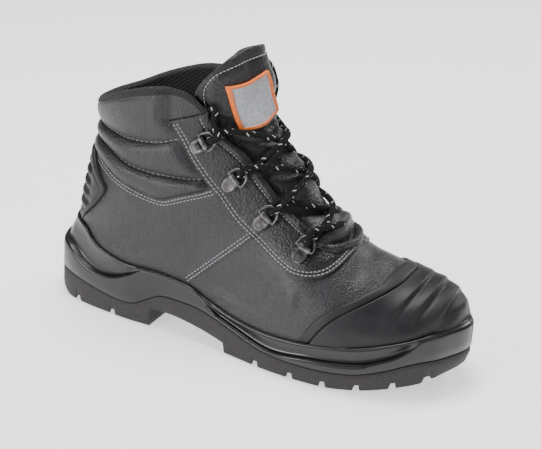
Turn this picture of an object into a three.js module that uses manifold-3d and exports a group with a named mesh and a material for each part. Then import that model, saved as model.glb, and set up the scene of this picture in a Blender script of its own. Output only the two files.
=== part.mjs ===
// A lace-up safety boot for the right foot, ankle height, in millimetres.
// +X runs to the toe, +Y to the inner (medial) side, -Y to the outer (lateral) side, +Z up.
// The origin is on the floor, under the middle of the sole.
import * as THREE from "three";
import { mergeVertices } from "three/addons/utils/BufferGeometryUtils.js";
import Module from "manifold-3d";

const wasm = await Module();
wasm.setup();

// Driving sizes
const soleLength = 310; // heel to toe, outside the sole
const soleBack = 0.0184 * soleLength; // the sole's middle lies this far behind the last's own zero
const ballWidth = 110.5; // sole across the ball of the foot
const heelWidth = 85; // sole across the heel
const instepHeight = 93; // floor to the ridge of the instep at the foot of the throat
const backHeight = 151; // floor to the collar's edge at the back seam
const toeSpring = 17; // lift of the tread under the tip of the toe
const heelBevel = 12; // lift of the tread's rear edge
const treadDepth = 4.6; // grooves of the tread
const treadGroove = 3.2; // width of a groove
const platform = 5; // least midsole under the foot
const throatSpan = 0.35 * ballWidth + 0.845 * heelWidth; // width that the throat, tongue and eyelets are laid out on

// Walls and clearances
const leather = 2.4; // wall of the vamp and quarters
const collarPad = 7.5; // wall of the padded collar
const rollHeight = 4.2; // how far a collar roll stands out between its seams
const gap = 0.3; // clearance between pieces that touch
const capWall = 2.4; // rubber of the toe cap and heel guard
const capStep = 0.8; // drop from the cap's field to its border
const ribHeight = 1.4; // ribs of the toe cap and heel guard
const facingWall = 1.8; // leather of the lace facing
const insoleWall = 2.1; // foam above the upper's turned-in edge
const tongueWall = 6;
const labelWall = 1.2;
const labelFrame = 0.8; // how far the label's frame stands up

// Lacing
const ringWire = 1.7; // diameter of the D-ring's wire
const ringWidth = 12.5; // across the D, between wire centres
const ringReach = 8.5; // from the straight bar to the top of the bow
const clipWidth = 9.5;
const clipLength = 11;
const clipWall = 1.3;
const laceDiameter = 4.4;

// Small maths
const clamp = (v, low, high) => Math.min(high, Math.max(low, v));
const mix = (a, b, t) => a + (b - a) * t;
const smooth = (t) => {
  const c = clamp(t, 0, 1);
  return c * c * (3 - 2 * c);
};

// Smooth value at s through rows that are one step apart.
function along(values, s) {
  const last = values.length - 1;
  const i = clamp(Math.floor(s), 0, last - 1);
  const t = s - i;
  const [b, c] = [values[i], values[i + 1]];
  const a = i > 0 ? values[i - 1] : 2 * b - c;
  const d = i < last - 1 ? values[i + 2] : 2 * c - b;
  return b + 0.5 * t * (c - a + t * (2 * a - 5 * b + 4 * c - d + t * (3 * (b - c) + d - a)));
}

// Smooth value at x through rows [x, value], held level past both ends.
function curve(rows, x) {
  const last = rows.length - 1;
  if (x <= rows[0][0]) return rows[0][1];
  if (x >= rows[last][0]) return rows[last][1];
  let i = 0;
  while (x > rows[i + 1][0]) i += 1;
  const slope = (k) => {
    const lo = rows[Math.max(k - 1, 0)];
    const hi = rows[Math.min(k + 1, last)];
    return (hi[1] - lo[1]) / (hi[0] - lo[0]);
  };
  const [x0, y0] = rows[i];
  const [x1, y1] = rows[i + 1];
  const h = x1 - x0;
  const t = (x - x0) / h;
  return (
    (1 + 2 * t) * (1 - t) ** 2 * y0 +
    t * (1 - t) ** 2 * h * slope(i) +
    t * t * (3 - 2 * t) * y1 +
    t * t * (t - 1) * h * slope(i + 1)
  );
}

// The last. Each row is a section cut by a plane that holds the Y direction. The planes stand
// upright across the toe and fan round the ankle until they lie almost level at the collar.
// under: the section's lowest or rearmost point. ridge: its highest or foremost point.
// x is a share of soleLength. z is a share of tall, bow, lateral and medial of wide.
// seat: share of the way from under to ridge where the section is widest.
// square and dome: fullness of the section below and above the seat, 2 being round.
const T = instepHeight;
const B = backHeight;
const [W, H] = [ballWidth, heelWidth];
const lastRows = [
  { under: [0.458, 0.41], ridge: [0.458, 0.41], tall: T, wide: W, bow: 0.064, lateral: 0.0, medial: 0.0, seat: 0.4, square: 2.4, dome: 2.1 },
  { under: [0.451, 0.29], ridge: [0.453, 0.54], tall: T, wide: W, bow: 0.062, lateral: 0.12, medial: 0.13, seat: 0.4, square: 2.6, dome: 2.1 },
  { under: [0.431, 0.25], ridge: [0.436, 0.63], tall: T, wide: W, bow: 0.057, lateral: 0.2, medial: 0.215, seat: 0.38, square: 3.0, dome: 2.15 },
  { under: [0.393, 0.225], ridge: [0.397, 0.705], tall: T, wide: W, bow: 0.048, lateral: 0.283, medial: 0.3, seat: 0.35, square: 3.3, dome: 2.2 },
  { under: [0.347, 0.205], ridge: [0.347, 0.742], tall: T, wide: W, bow: 0.036, lateral: 0.355, medial: 0.372, seat: 0.32, square: 3.5, dome: 2.2 },
  { under: [0.284, 0.2], ridge: [0.284, 0.797], tall: T, wide: W, bow: 0.02, lateral: 0.425, medial: 0.42, seat: 0.29, square: 3.6, dome: 2.15 },
  { under: [0.206, 0.2], ridge: [0.218, 0.88], tall: T, wide: W, bow: 0.005, lateral: 0.463, medial: 0.432, seat: 0.27, square: 3.6, dome: 2.0 },
  { under: [0.115, 0.205], ridge: [0.164, 1.0], tall: T, wide: W, bow: 0.0, lateral: 0.455, medial: 0.398, seat: 0.25, square: 3.6, dome: 2.0 },
  { under: [0.016, 0.23], ridge: [0.13, 1.13], tall: T, wide: W, bow: 0.0, lateral: 0.415, medial: 0.338, seat: 0.24, square: 3.6, dome: 2.0 },
  { under: [-0.092, 0.17], ridge: [0.092, 0.785], tall: B, wide: H, bow: 0.0, lateral: 0.475, medial: 0.41, seat: 0.24, square: 3.6, dome: 2.05 },
  { under: [-0.2, 0.182], ridge: [0.05, 0.872], tall: B, wide: H, bow: 0.0, lateral: 0.45, medial: 0.42, seat: 0.26, square: 3.4, dome: 2.1 },
  { under: [-0.308, 0.18], ridge: [0.014, 0.945], tall: B, wide: H, bow: 0.0, lateral: 0.452, medial: 0.44, seat: 0.3, square: 3.1, dome: 2.15 },
  { under: [-0.4, 0.18], ridge: [-0.01, 1.02], tall: B, wide: H, bow: 0.0, lateral: 0.452, medial: 0.448, seat: 0.35, square: 2.8, dome: 2.2 },
  { under: [-0.462, 0.27], ridge: [-0.024, 1.085], tall: B, wide: H, bow: 0.0, lateral: 0.448, medial: 0.446, seat: 0.38, square: 2.5, dome: 2.2 },
  { under: [-0.478, 0.42], ridge: [-0.034, 1.14], tall: B, wide: H, bow: 0.0, lateral: 0.442, medial: 0.44, seat: 0.42, square: 2.3, dome: 2.2 },
  { under: [-0.468, 0.59], ridge: [-0.041, 1.19], tall: B, wide: H, bow: 0.0, lateral: 0.436, medial: 0.436, seat: 0.44, square: 2.2, dome: 2.25 },
  { under: [-0.452, 0.74], ridge: [-0.047, 1.235], tall: B, wide: H, bow: 0.0, lateral: 0.43, medial: 0.43, seat: 0.46, square: 2.2, dome: 2.3 },
  { under: [-0.444, 0.875], ridge: [-0.053, 1.28], tall: B, wide: H, bow: 0.0, lateral: 0.428, medial: 0.428, seat: 0.48, square: 2.2, dome: 2.3 },
  { under: [-0.443, 1.0], ridge: [-0.06, 1.33], tall: B, wide: H, bow: 0.0, lateral: 0.426, medial: 0.426, seat: 0.5, square: 2.2, dome: 2.3 },
  { under: [-0.445, 1.12], ridge: [-0.07, 1.385], tall: B, wide: H, bow: 0.0, lateral: 0.42, medial: 0.42, seat: 0.5, square: 2.2, dome: 2.3 },
];
const column = (pick) => lastRows.map(pick);
const last = {
  underX: column((r) => r.under[0] * soleLength),
  underZ: column((r) => r.under[1] * r.tall),
  ridgeX: column((r) => r.ridge[0] * soleLength),
  ridgeZ: column((r) => r.ridge[1] * r.tall),
  bow: column((r) => r.bow * r.wide),
  lateral: column((r) => r.lateral * r.wide),
  medial: column((r) => r.medial * r.wide),
  seat: column((r) => r.seat),
  square: column((r) => r.square),
  dome: column((r) => r.dome),
};
const topRow = lastRows.length - 1;
const fullTurn = 2 * Math.PI;

// A point on the last: u counts the sections, angle goes from 0 under the foot up the lateral
// side to half a turn at the ridge, and down the medial side.
function onLast(u, angle) {
  const at = (key) => along(last[key], u);
  const turned = (angle + fullTurn) % fullTurn;
  const [side, turn] = turned <= Math.PI ? [-1, turned] : [1, fullTurn - turned];
  const width = at(side < 0 ? "lateral" : "medial");
  const seat = at("seat");
  const low = turn < Math.PI / 2;
  const power = 2 / at(low ? "square" : "dome");
  const c = Math.abs(Math.cos(turn)) ** power;
  const s = Math.abs(Math.sin(turn)) ** power;
  const share = low ? seat * (1 - c) : mix(seat, 1, c);
  return new THREE.Vector3(
    mix(at("underX"), at("ridgeX"), share),
    at("bow") + side * width * s,
    mix(at("underZ"), at("ridgeZ"), share),
  );
}

// The last's outward direction there.
function outward(u, angle) {
  const step = 0.03;
  if (u < step) return new THREE.Vector3(1, 0, 0);
  const across = onLast(u, angle + step).sub(onLast(u, angle - step));
  const forward = onLast(u - step, angle).sub(onLast(Math.min(u + step, topRow), angle));
  return forward.cross(across).normalize();
}

// A point that stands off the last by a distance.
const offLast = (u, angle, distance) => onLast(u, angle).addScaledVector(outward(u, angle), distance);

// Seams of the padded collar on the side view, as rows of x (share of soleLength) and z (share
// of backHeight): the collar's foot, the two seams between its rolls, and its open edge.
const seamLines = [
  [[-0.48, 0.755], [-0.407, 0.735], [-0.367, 0.702], [-0.321, 0.662], [-0.275, 0.636], [-0.233, 0.636],
    [-0.164, 0.689], [-0.102, 0.742], [0.02, 0.79]],
  [[-0.48, 0.835], [-0.413, 0.821], [-0.374, 0.815], [-0.315, 0.781], [-0.269, 0.768], [-0.223, 0.768],
    [-0.167, 0.772], [-0.115, 0.79], [0.02, 0.83]],
  [[-0.48, 0.9], [-0.416, 0.896], [-0.37, 0.901], [-0.321, 0.901], [-0.272, 0.907], [-0.226, 0.927],
    [-0.19, 0.954], [-0.13, 0.955], [0.02, 0.88]],
  [[-0.445, 0.985], [-0.4, 1.035], [-0.354, 1.085], [-0.302, 1.13], [-0.256, 1.16], [-0.22, 1.175],
    [-0.19, 1.174], [-0.164, 1.152], [-0.139, 1.11], [-0.1, 1.05], [0.02, 0.93]],
].map((rows) => rows.map(([x, z]) => [x * soleLength, z * backHeight]));
// The medial side of the collar reaches further forward.
const medialEdge = [[-0.445, 0.985], [-0.4, 1.015], [-0.354, 1.06], [-0.302, 1.105], [-0.256, 1.138], [-0.2, 1.157],
  [-0.14, 1.163], [-0.1, 1.15], [-0.063, 1.11], [-0.03, 1.05], [0.02, 0.96]]
  .map(([x, z]) => [x * soleLength, z * backHeight]);

// Rear edge of the lace facing on the side view: z is a share of backHeight, x of soleLength.
const facingRows = [
  { z: 0.464, lateral: 0.111, medial: 0.111 },
  { z: 0.497, lateral: 0.069, medial: 0.069 },
  { z: 0.563, lateral: 0.007, medial: 0.007 },
  { z: 0.623, lateral: -0.043, medial: -0.04 },
  { z: 0.715, lateral: -0.089, medial: -0.077 },
  { z: 0.788, lateral: -0.128, medial: -0.105 },
  { z: 0.868, lateral: -0.161, medial: -0.127 },
  { z: 0.967, lateral: -0.19, medial: -0.145 },
  { z: 1.04, lateral: -0.216, medial: -0.157 },
];
const facingBack = {
  lateral: facingRows.map((r) => [r.z * backHeight, r.lateral * soleLength]),
  medial: facingRows.map((r) => [r.z * backHeight, r.medial * soleLength]),
};

// The upper's grid: columns run round the foot, rows from the toe to the collar's edge.
const columns = 30;
const ballRow = 7;
const toeRows = 7;
const waistRows = 6;
const rollRows = 4;

// The row where the last crosses a line of the side view.
function crossing(line, angle) {
  let [low, high] = [ballRow, topRow];
  for (let i = 0; i < 30; i += 1) {
    const middle = (low + high) / 2;
    const p = onLast(middle, angle);
    if (p.z < curve(line, p.x)) low = middle;
    else high = middle;
  }
  return (low + high) / 2;
}

// The rows of the four collar seams at an angle.
function seamsAt(angle) {
  const lines = angle > Math.PI ? [...seamLines.slice(0, 3), medialEdge] : seamLines;
  return lines.map((line) => crossing(line, angle));
}

// One column of the grid: its angle, its rows, and the rows of its four collar seams.
const grid = Array.from({ length: columns }, (_, i) => {
  const angle = (fullTurn * i) / columns;
  const seams = seamsAt(angle);
  const rows = [];
  for (let r = 1; r <= toeRows; r += 1) rows.push(ballRow * (r / toeRows) ** 1.25);
  for (let r = 1; r <= waistRows; r += 1) rows.push(mix(ballRow, seams[0], r / waistRows));
  for (let k = 0; k < 3; k += 1) {
    for (let r = 1; r <= rollRows; r += 1) rows.push(mix(seams[k], seams[k + 1], r / rollRows));
  }
  return { angle, rows, seams };
});
const allRows = grid[0].rows.map((_, r) => r);
// A smooth face needs only every second row in the collar.
const smoothRows = allRows.filter((r) => r < toeRows + waistRows || (r - toeRows - waistRows) % 2 === 1);

// How far the rolls and padding have faded out towards the lace facing, 0 there and 1 behind.
function behindFacing(p) {
  const back = p.y < 0 ? facingBack.lateral : facingBack.medial;
  return smooth((curve(back, p.z) - p.x) / 8);
}

// Outer face of the upper: the rolls of the collar stand out between their seams.
function skin({ angle, seams }, u) {
  let k = 2;
  while (k >= 0 && u < seams[k]) k -= 1;
  if (k < 0) return 0;
  const t = clamp((u - seams[k]) / (seams[k + 1] - seams[k]), 0, 1);
  const swell = Math.sin(Math.PI * (k === 2 ? 0.82 * t : t)) ** 0.8;
  return rollHeight * swell * behindFacing(onLast(u, angle));
}

// Inner face of the upper: bare leather below the collar, padding above it.
function lining({ angle, seams }, u) {
  const pad = smooth((u - seams[0]) / (seams[1] - seams[0])) * behindFacing(onLast(u, angle));
  const brim = smooth((u - seams[2]) / (seams[3] - seams[2]));
  return -mix(leather, collarPad - 1.5 * brim, pad);
}

// A closed body from points and triangles, turned to face out.
function body(points, triangles) {
  let volume = 0;
  for (const [a, b, c] of triangles) {
    volume += points[a].dot(points[b].clone().cross(points[c]));
  }
  const geometry = new THREE.BufferGeometry().setFromPoints(points);
  geometry.setIndex(triangles.flatMap(([a, b, c]) => (volume < 0 ? [a, c, b] : [a, b, c])));
  return toSolid(geometry);
}

// A three.js geometry as a solid that can be joined and cut.
function toSolid(geometry, matrix) {
  const bare = geometry.clone();
  bare.deleteAttribute("normal");
  bare.deleteAttribute("uv");
  if (matrix) bare.applyMatrix4(matrix);
  const merged = mergeVertices(bare, 1e-4);
  const vertProperties = new Float32Array(merged.attributes.position.array);
  return new wasm.Manifold(
    new wasm.Mesh({ numProp: 3, vertProperties, triVerts: new Uint32Array(merged.index.array) }),
  );
}

// A face of the grid: a pole at the toe and rings of points, each at its own distance off the last.
function face(distance, points, triangles, flip, chosen = allRows) {
  const first = points.length;
  const rowCount = chosen.length;
  points.push(offLast(0, 0, distance(grid[0], 0)));
  for (const r of chosen) {
    for (const line of grid) {
      const u = line.rows[r];
      points.push(offLast(u, line.angle, distance(line, u)));
    }
  }
  const at = (r, i) => first + 1 + r * columns + ((i + columns) % columns);
  const add = (a, b, c) => triangles.push(flip ? [a, c, b] : [a, b, c]);
  for (let i = 0; i < columns; i += 1) {
    add(first, at(0, i), at(0, i + 1));
    for (let r = 1; r < rowCount; r += 1) {
      add(at(r - 1, i), at(r, i), at(r, i + 1));
      add(at(r - 1, i), at(r, i + 1), at(r - 1, i + 1));
    }
  }
  return (i) => at(rowCount - 1, i);
}

// A wall round the last between two distances, open at the collar, with a lip on its edge.
function wall(inner, outer, lip = 0, innerRows = allRows, outerRows = allRows) {
  const points = [];
  const triangles = [];
  const inside = face(inner, points, triangles, true, innerRows);
  const outside = face(outer, points, triangles, false, outerRows);
  const crest = points.length;
  for (let i = 0; i < columns; i += 1) {
    const up = new THREE.Vector3(0, 0, lip);
    points.push(points[inside(i)].clone().lerp(points[outside(i)], 0.5).add(up));
  }
  for (let i = 0; i < columns; i += 1) {
    const next = (i + 1) % columns;
    triangles.push([outside(i), crest + i, crest + next], [outside(i), crest + next, outside(i + 1)]);
    triangles.push([crest + i, inside(i), inside(i + 1)], [crest + i, inside(i + 1), crest + next]);
  }
  return body(points, triangles);
}

// The last as a filled form, swollen or shrunk by a distance.
function core(distance) {
  const points = [];
  const triangles = [];
  const rim = face(() => distance, points, triangles, false);
  const middle = new THREE.Vector3();
  for (let i = 0; i < columns; i += 1) middle.addScaledVector(points[rim(i)], 1 / columns);
  points.push(middle);
  for (let i = 0; i < columns; i += 1) triangles.push([rim(i), points.length - 1, rim(i + 1)]);
  return body(points, triangles);
}

// An outline of the side view, carried across the boot.
function across(points, from = -ballWidth, to = ballWidth) {
  const shape = new THREE.Shape(points.map(([x, z]) => new THREE.Vector2(x, z)));
  const geometry = new THREE.ExtrudeGeometry(shape, { depth: to - from, bevelEnabled: false });
  const turn = new THREE.Matrix4().makeRotationX(Math.PI / 2).setPosition(0, to, 0);
  return toSolid(geometry, turn);
}

// Sole: side heights along x, as shares of soleLength and of backHeight.
const heights = (rows) => rows.map(([x, z]) => [x * soleLength, z * backHeight]);
const rimTop = heights([[-0.5, 0.4], [-0.46, 0.395], [-0.43, 0.385], [-0.397, 0.34], [-0.348, 0.305], [-0.305, 0.292],
  [-0.216, 0.29], [-0.134, 0.27], [-0.089, 0.235], [-0.02, 0.2], [0.046, 0.186], [0.108, 0.185], [0.164, 0.192],
  [0.233, 0.211], [0.279, 0.222], [0.374, 0.27], [0.43, 0.315], [0.466, 0.338], [0.5, 0.34]]);
const wave = heights([[-0.5, 0.275], [-0.469, 0.265], [-0.416, 0.207], [-0.37, 0.192], [-0.331, 0.205],
  [-0.292, 0.243], [-0.25, 0.262], [-0.18, 0.24], [-0.11, 0.205], [-0.049, 0.172], [0.003, 0.128], [0.052, 0.113], [0.108, 0.108],
  [0.17, 0.124], [0.289, 0.148], [0.351, 0.184], [0.39, 0.222], [0.43, 0.25], [0.5, 0.265]]);
const treadTop = heights([[-0.5, 0.14], [-0.443, 0.125], [-0.348, 0.093], [-0.282, 0.093], [-0.239, 0.139],
  [-0.21, 0.172], [-0.174, 0.178], [-0.102, 0.17], [-0.013, 0.13], [0.069, 0.088], [0.164, 0.078], [0.279, 0.09],
  [0.344, 0.125], [0.397, 0.165], [0.43, 0.178], [0.5, 0.186]]);
const treadFoot = [[-0.515, heelBevel], [-0.5, 0.56 * heelBevel], [-0.483, 0.18 * heelBevel], [-0.46, 0], [0.2, 0],
  [0.26, 0.06 * toeSpring], [0.331, 0.24 * toeSpring], [0.41, 0.55 * toeSpring], [0.456, 0.78 * toeSpring],
  [0.5, 0.98 * toeSpring]].map(([x, z]) => [x * soleLength, z]);
const archFoot = heights([[-0.23, 0.088], [-0.18, 0.092], [-0.131, 0.08], [-0.079, 0.063], [-0.033, 0.046]]);
const footbed = heights([[-0.45, 0.18], [-0.3, 0.18], [-0.2, 0.183], [-0.09, 0.17], [0.03, 0.138], [0.115, 0.126],
  [0.206, 0.123], [0.284, 0.123], [0.35, 0.127], [0.4, 0.14], [0.45, 0.155]]);

// Plan of the sole. x is a share of soleLength, lateral and medial of wide.
const planRows = [
  { x: -0.5, wide: H, lateral: 0, medial: 0 },
  { x: -0.478, wide: H, lateral: 0.3, medial: 0.28 },
  { x: -0.449, wide: H, lateral: 0.39, medial: 0.375 },
  { x: -0.407, wide: H, lateral: 0.445, medial: 0.435 },
  { x: -0.342, wide: H, lateral: 0.482, medial: 0.478 },
  { x: -0.277, wide: H, lateral: 0.506, medial: 0.494 },
  { x: -0.18, wide: H, lateral: 0.505, medial: 0.47 },
  { x: -0.082, wide: H, lateral: 0.525, medial: 0.447 },
  { x: 0.015, wide: W, lateral: 0.453, medial: 0.365 },
  { x: 0.096, wide: W, lateral: 0.49, medial: 0.41 },
  { x: 0.161, wide: W, lateral: 0.5, medial: 0.455 },
  { x: 0.21, wide: W, lateral: 0.496, medial: 0.485 },
  { x: 0.262, wide: W, lateral: 0.48, medial: 0.5 },
  { x: 0.332, wide: W, lateral: 0.43, medial: 0.488 },
  { x: 0.398, wide: W, lateral: 0.34, medial: 0.43 },
  { x: 0.454, wide: W, lateral: 0.222, medial: 0.31 },
  { x: 0.483, wide: W, lateral: 0.09, medial: 0.185 },
  { x: 0.5, wide: W, lateral: -0.072, medial: 0.072 },
];
const stations = 26;
const turnAt = (x) => Math.acos(clamp(-2 * x, -1, 1));
const plan = {
  lateral: planRows.map((r) => [turnAt(r.x), -r.lateral * r.wide]),
  medial: planRows.map((r) => [turnAt(r.x), r.medial * r.wide]),
};

// A point of the plan: k counts the stations from the heel up the lateral side to the toe and back.
function planPoint(k) {
  const around = (k + 2 * stations) % (2 * stations);
  const lateral = around <= stations;
  const turn = (Math.PI * (lateral ? around : 2 * stations - around)) / stations;
  const y = curve(lateral ? plan.lateral : plan.medial, turn);
  return new THREE.Vector2((-soleLength / 2) * Math.cos(turn) - soleBack, y);
}

// A ring of points along the plan, drawn in by inset(x) and held at height(x).
function ring(inset, height) {
  return Array.from({ length: 2 * stations }, (_, k) => {
    const p = planPoint(k);
    const run = planPoint(k + 1).sub(planPoint(k - 1)).normalize();
    const x = p.x - run.y * inset(p.x);
    const y = p.y + run.x * inset(p.x);
    return new THREE.Vector3(x, y, height(x));
  });
}

// A body through rings, closed by strips across its first and last.
function stack(rings) {
  const size = 2 * stations;
  const points = rings.flat();
  const triangles = [];
  rings.slice(1).forEach((_, level) => {
    const [low, high] = [level * size, (level + 1) * size];
    for (let k = 0; k < size; k += 1) {
      const next = (k + 1) % size;
      const [a, b, c, d] = [low + k, low + next, high + next, high + k];
      const rising = points[a].distanceTo(points[c]) < points[b].distanceTo(points[d]);
      triangles.push(...(rising ? [[a, b, c], [a, c, d]] : [[a, b, d], [b, c, d]]));
    }
  });
  [0, (rings.length - 1) * size].forEach((start, end) => {
    for (let k = 0; k < stations; k += 1) {
      const [a, b] = [start + k, start + k + 1];
      const [c, d] = [start + ((size - k) % size), start + size - k - 1];
      const strip = [[a, d, b], [a, c, d]].filter((t) => new Set(t).size === 3);
      triangles.push(...(end ? strip.map(([p, q, r]) => [p, r, q]) : strip));
    }
  });
  return body(points, triangles);
}

const tread = (x) => Math.max(0, curve(treadFoot, x));
const at = (rows, add = 0) => (x) => curve(rows, x) + add;
const level = (value) => () => value;
const toeLean = (x) => 2.2 * smooth((x - 0.36 * soleLength) / (0.13 * soleLength));
const heelLean = (x) => 7 * smooth((-x - 0.36 * soleLength) / (0.15 * soleLength));
const lean = (inset) => (x) => inset + toeLean(x) + heelLean(x);
const under = (x) => Math.min(curve(treadTop, x), curve(footbed, x) - platform);
const groove = (x) => clamp(curve(wave, x), curve(treadTop, x) + 3.6, curve(rimTop, x) - 6.5);

// The cup sole as a filled form, grown by a clearance.
function cup(grow) {
  const edge = (inset, height) => ring((x) => inset(x) - grow, (x) => height(x) + grow);
  return stack([
    edge(level(7), (x) => under(x) + gap),
    edge(level(0.9), at(treadTop, gap)),
    edge(level(0), at(treadTop, 1.4)),
    edge(level(0), (x) => groove(x) - 1.5),
    edge((x) => 1.3 + 0.3 * heelLean(x), (x) => groove(x) - 0.2),
    edge((x) => 0.5 + 0.3 * heelLean(x), (x) => groove(x) + 1.3),
    edge((x) => 1 + 0.5 * (toeLean(x) + heelLean(x)), (x) => mix(groove(x), curve(rimTop, x), 0.62)),
    edge(lean(0.9), at(rimTop, -1.9)),
    edge(lean(1.1), at(rimTop, -0.7)),
    edge(lean(2.1), at(rimTop)),
  ]);
}

const midsole = () => cup(0).subtract(core(gap));

const foreGrooves = [0.055, 0.143, 0.22, 0.294, 0.365, 0.425]; // shares of soleLength
const heelGrooves = [-0.437, -0.334];

function outsole() {
  let sole = stack([
    ring(level(2), tread),
    ring(level(0.4), (x) => tread(x) + 2),
    ring(level(0.7), at(treadTop)),
    ring(level(7), under),
  ]);
  const breast = archFoot[0][0];
  const front = archFoot[archFoot.length - 1][0];
  const arch = [[breast - 2, -5], ...archFoot, [front + 1.5, -5]];
  sole = sole.subtract(across(arch));
  const cut = (x, y, width, depth, length) => {
    const top = tread(x) + treadDepth;
    const box = new THREE.BoxGeometry(width, length, 2 * treadDepth);
    sole = sole.subtract(toSolid(box, new THREE.Matrix4().setPosition(x, y, top - treadDepth)));
  };
  for (const x of [...foreGrooves, ...heelGrooves]) cut(x * soleLength, 0, treadGroove, treadDepth, 2 * ballWidth);
  return sole;
}

function insole() {
  const board = (lift) => [
    [-soleLength, -5],
    [-soleLength, footbed[0][1] + lift],
    ...footbed.map(([x, z]) => [x, z + lift]),
    [soleLength, footbed[footbed.length - 1][1] + lift],
    [soleLength, -5],
  ];
  const base = core(0).intersect(across(board(leather)));
  const plug = core(-leather - gap).intersect(across(board(leather + insoleWall)));
  return base.add(plug);
}

// The throat: its middle line lies along the instep's slope, and its outline is swept square to it.
const throatFoot = [0.164 * soleLength, 0, 0.97 * instepHeight];
const slope = new THREE.Vector3(-0.69, 0, 0.724).normalize();
const throatRows = [
  { s: -0.075, lateral: 0.05, medial: 0.05 },
  { s: -0.05, lateral: 0.13, medial: 0.13 },
  { s: 0.0, lateral: 0.185, medial: 0.185 },
  { s: 0.08, lateral: 0.205, medial: 0.205 },
  { s: 0.3, lateral: 0.208, medial: 0.208 },
  { s: 0.6, lateral: 0.2, medial: 0.205 },
  { s: 0.8, lateral: 0.2, medial: 0.205 },
  { s: 0.95, lateral: 0.22, medial: 0.208 },
  { s: 1.1, lateral: 0.25, medial: 0.215 },
  { s: 1.25, lateral: 0.278, medial: 0.215 },
  { s: 1.32, lateral: 0.27, medial: 0.2 },
  { s: 1.7, lateral: 0.1, medial: 0.1 },
].map((r) => ({ s: r.s * instepHeight, lateral: r.lateral * throatSpan, medial: r.medial * throatSpan }));
const throatFrame = new THREE.Matrix4()
  .makeBasis(slope, new THREE.Vector3(0, -1, 0), slope.clone().cross(new THREE.Vector3(0, -1, 0)))
  .setPosition(...throatFoot);

function throat() {
  const points = [
    ...throatRows.map((r) => new THREE.Vector2(r.s, r.lateral)),
    ...throatRows.map((r) => new THREE.Vector2(r.s, -r.medial)).reverse(),
  ];
  const geometry = new THREE.ExtrudeGeometry(new THREE.Shape(points), { depth: 0.86 * instepHeight, bevelEnabled: false });
  geometry.translate(0, 0, -0.3 * instepHeight);
  return toSolid(geometry, throatFrame);
}

function upper(extra = 0) {
  const feather = [
    [-soleLength, -20],
    [-soleLength, footbed[0][1] + leather + gap],
    ...footbed.map(([x, z]) => [x, z + leather + gap]),
    [soleLength, footbed[footbed.length - 1][1] + leather + gap],
    [soleLength, -20],
  ];
  const whole = wall(
    (line, u) => lining(line, u) - extra,
    (line, u) => skin(line, u) + extra,
    1.2,
    smoothRows,
  );
  return whole.subtract(across(feather)).subtract(throat());
}

// A layer that lies on the upper: its faces stand off the upper's own skin.
const layer = (from, to, innerRows = allRows, outerRows = allRows) =>
  wall((line, u) => skin(line, u) + from, (line, u) => skin(line, u) + to, 0, innerRows, outerRows);

// Toe cap and heel guard: outlines on the side view, as shares of soleLength and backHeight.
const capEdge = heights([[0.157, 0.2], [0.17, 0.258], [0.2, 0.338], [0.23, 0.384], [0.256, 0.411], [0.279, 0.444],
  [0.295, 0.462], [0.3, 0.6]]);
const capLine = heights([[0.18, 0.2], [0.207, 0.285], [0.236, 0.344], [0.289, 0.411], [0.318, 0.444], [0.331, 0.464], [0.336, 0.6]]);
const guardEdge = heights([[-0.52, 0.755], [-0.433, 0.755], [-0.384, 0.649], [-0.367, 0.623], [-0.393, 0.536],
  [-0.44, 0.42]]);
const capRibs = [0.365, 0.398, 0.432, 0.459];
const capRibWidth = 0.015 * soleLength;
const guardRibs = [0.45, 0.525, 0.6, 0.675];

// The foot of the cap and guard on the side view, behind the sole's rim, from one x to another.
const footLine = (from, to, count = 12) => Array.from({ length: count + 1 }, (_, i) => {
  const x = mix(from, to, i / count);
  return [x, curve(rimTop, x) - capWall];
});

// What lies ahead of an edge of the side view.
function aheadOf(edge) {
  const tip = [0.52 * soleLength, edge[edge.length - 1][1]];
  return across([...edge, tip, ...footLine(0.52 * soleLength, edge[0][0])]);
}

// What lies behind an edge of the side view.
const behind = (edge) => across([...edge, ...footLine(edge[edge.length - 1][0], -0.52 * soleLength)]);

// A rib: a slab of the side view, leaning back as it rises.
const rib = (x, z, width, height, leanBack) => across([
  [x - width / 2, z], [x + width / 2, z], [x + width / 2 - leanBack, z + height], [x - width / 2 - leanBack, z + height],
]);

function toeCap() {
  let cap = layer(gap, gap + capWall - capStep).intersect(aheadOf(capEdge));
  cap = cap.add(layer(gap + 0.5, gap + capWall).intersect(aheadOf(capLine)));
  const ribs = capRibs.map((x) => rib(x * soleLength, 0.36 * backHeight, capRibWidth, 0.2 * backHeight, 0.02 * soleLength));
  const relief = layer(gap + 1, gap + capWall + ribHeight);
  for (const one of ribs) cap = cap.add(relief.intersect(one));
  return cap.subtract(cup(gap));
}

function heelGuard() {
  let guard = layer(gap, gap + capWall).intersect(behind(guardEdge));
  const relief = layer(gap + 1, gap + capWall + ribHeight);
  for (const z of guardRibs) {
    const slab = [[-soleLength, z - 0.018], [-0.42 * soleLength, z - 0.018], [-0.42 * soleLength, z + 0.018], [-soleLength, z + 0.018]];
    guard = guard.add(relief.intersect(across(slab.map(([x, h]) => [x, h * backHeight]))));
  }
  return guard.subtract(cup(gap));
}

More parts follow.
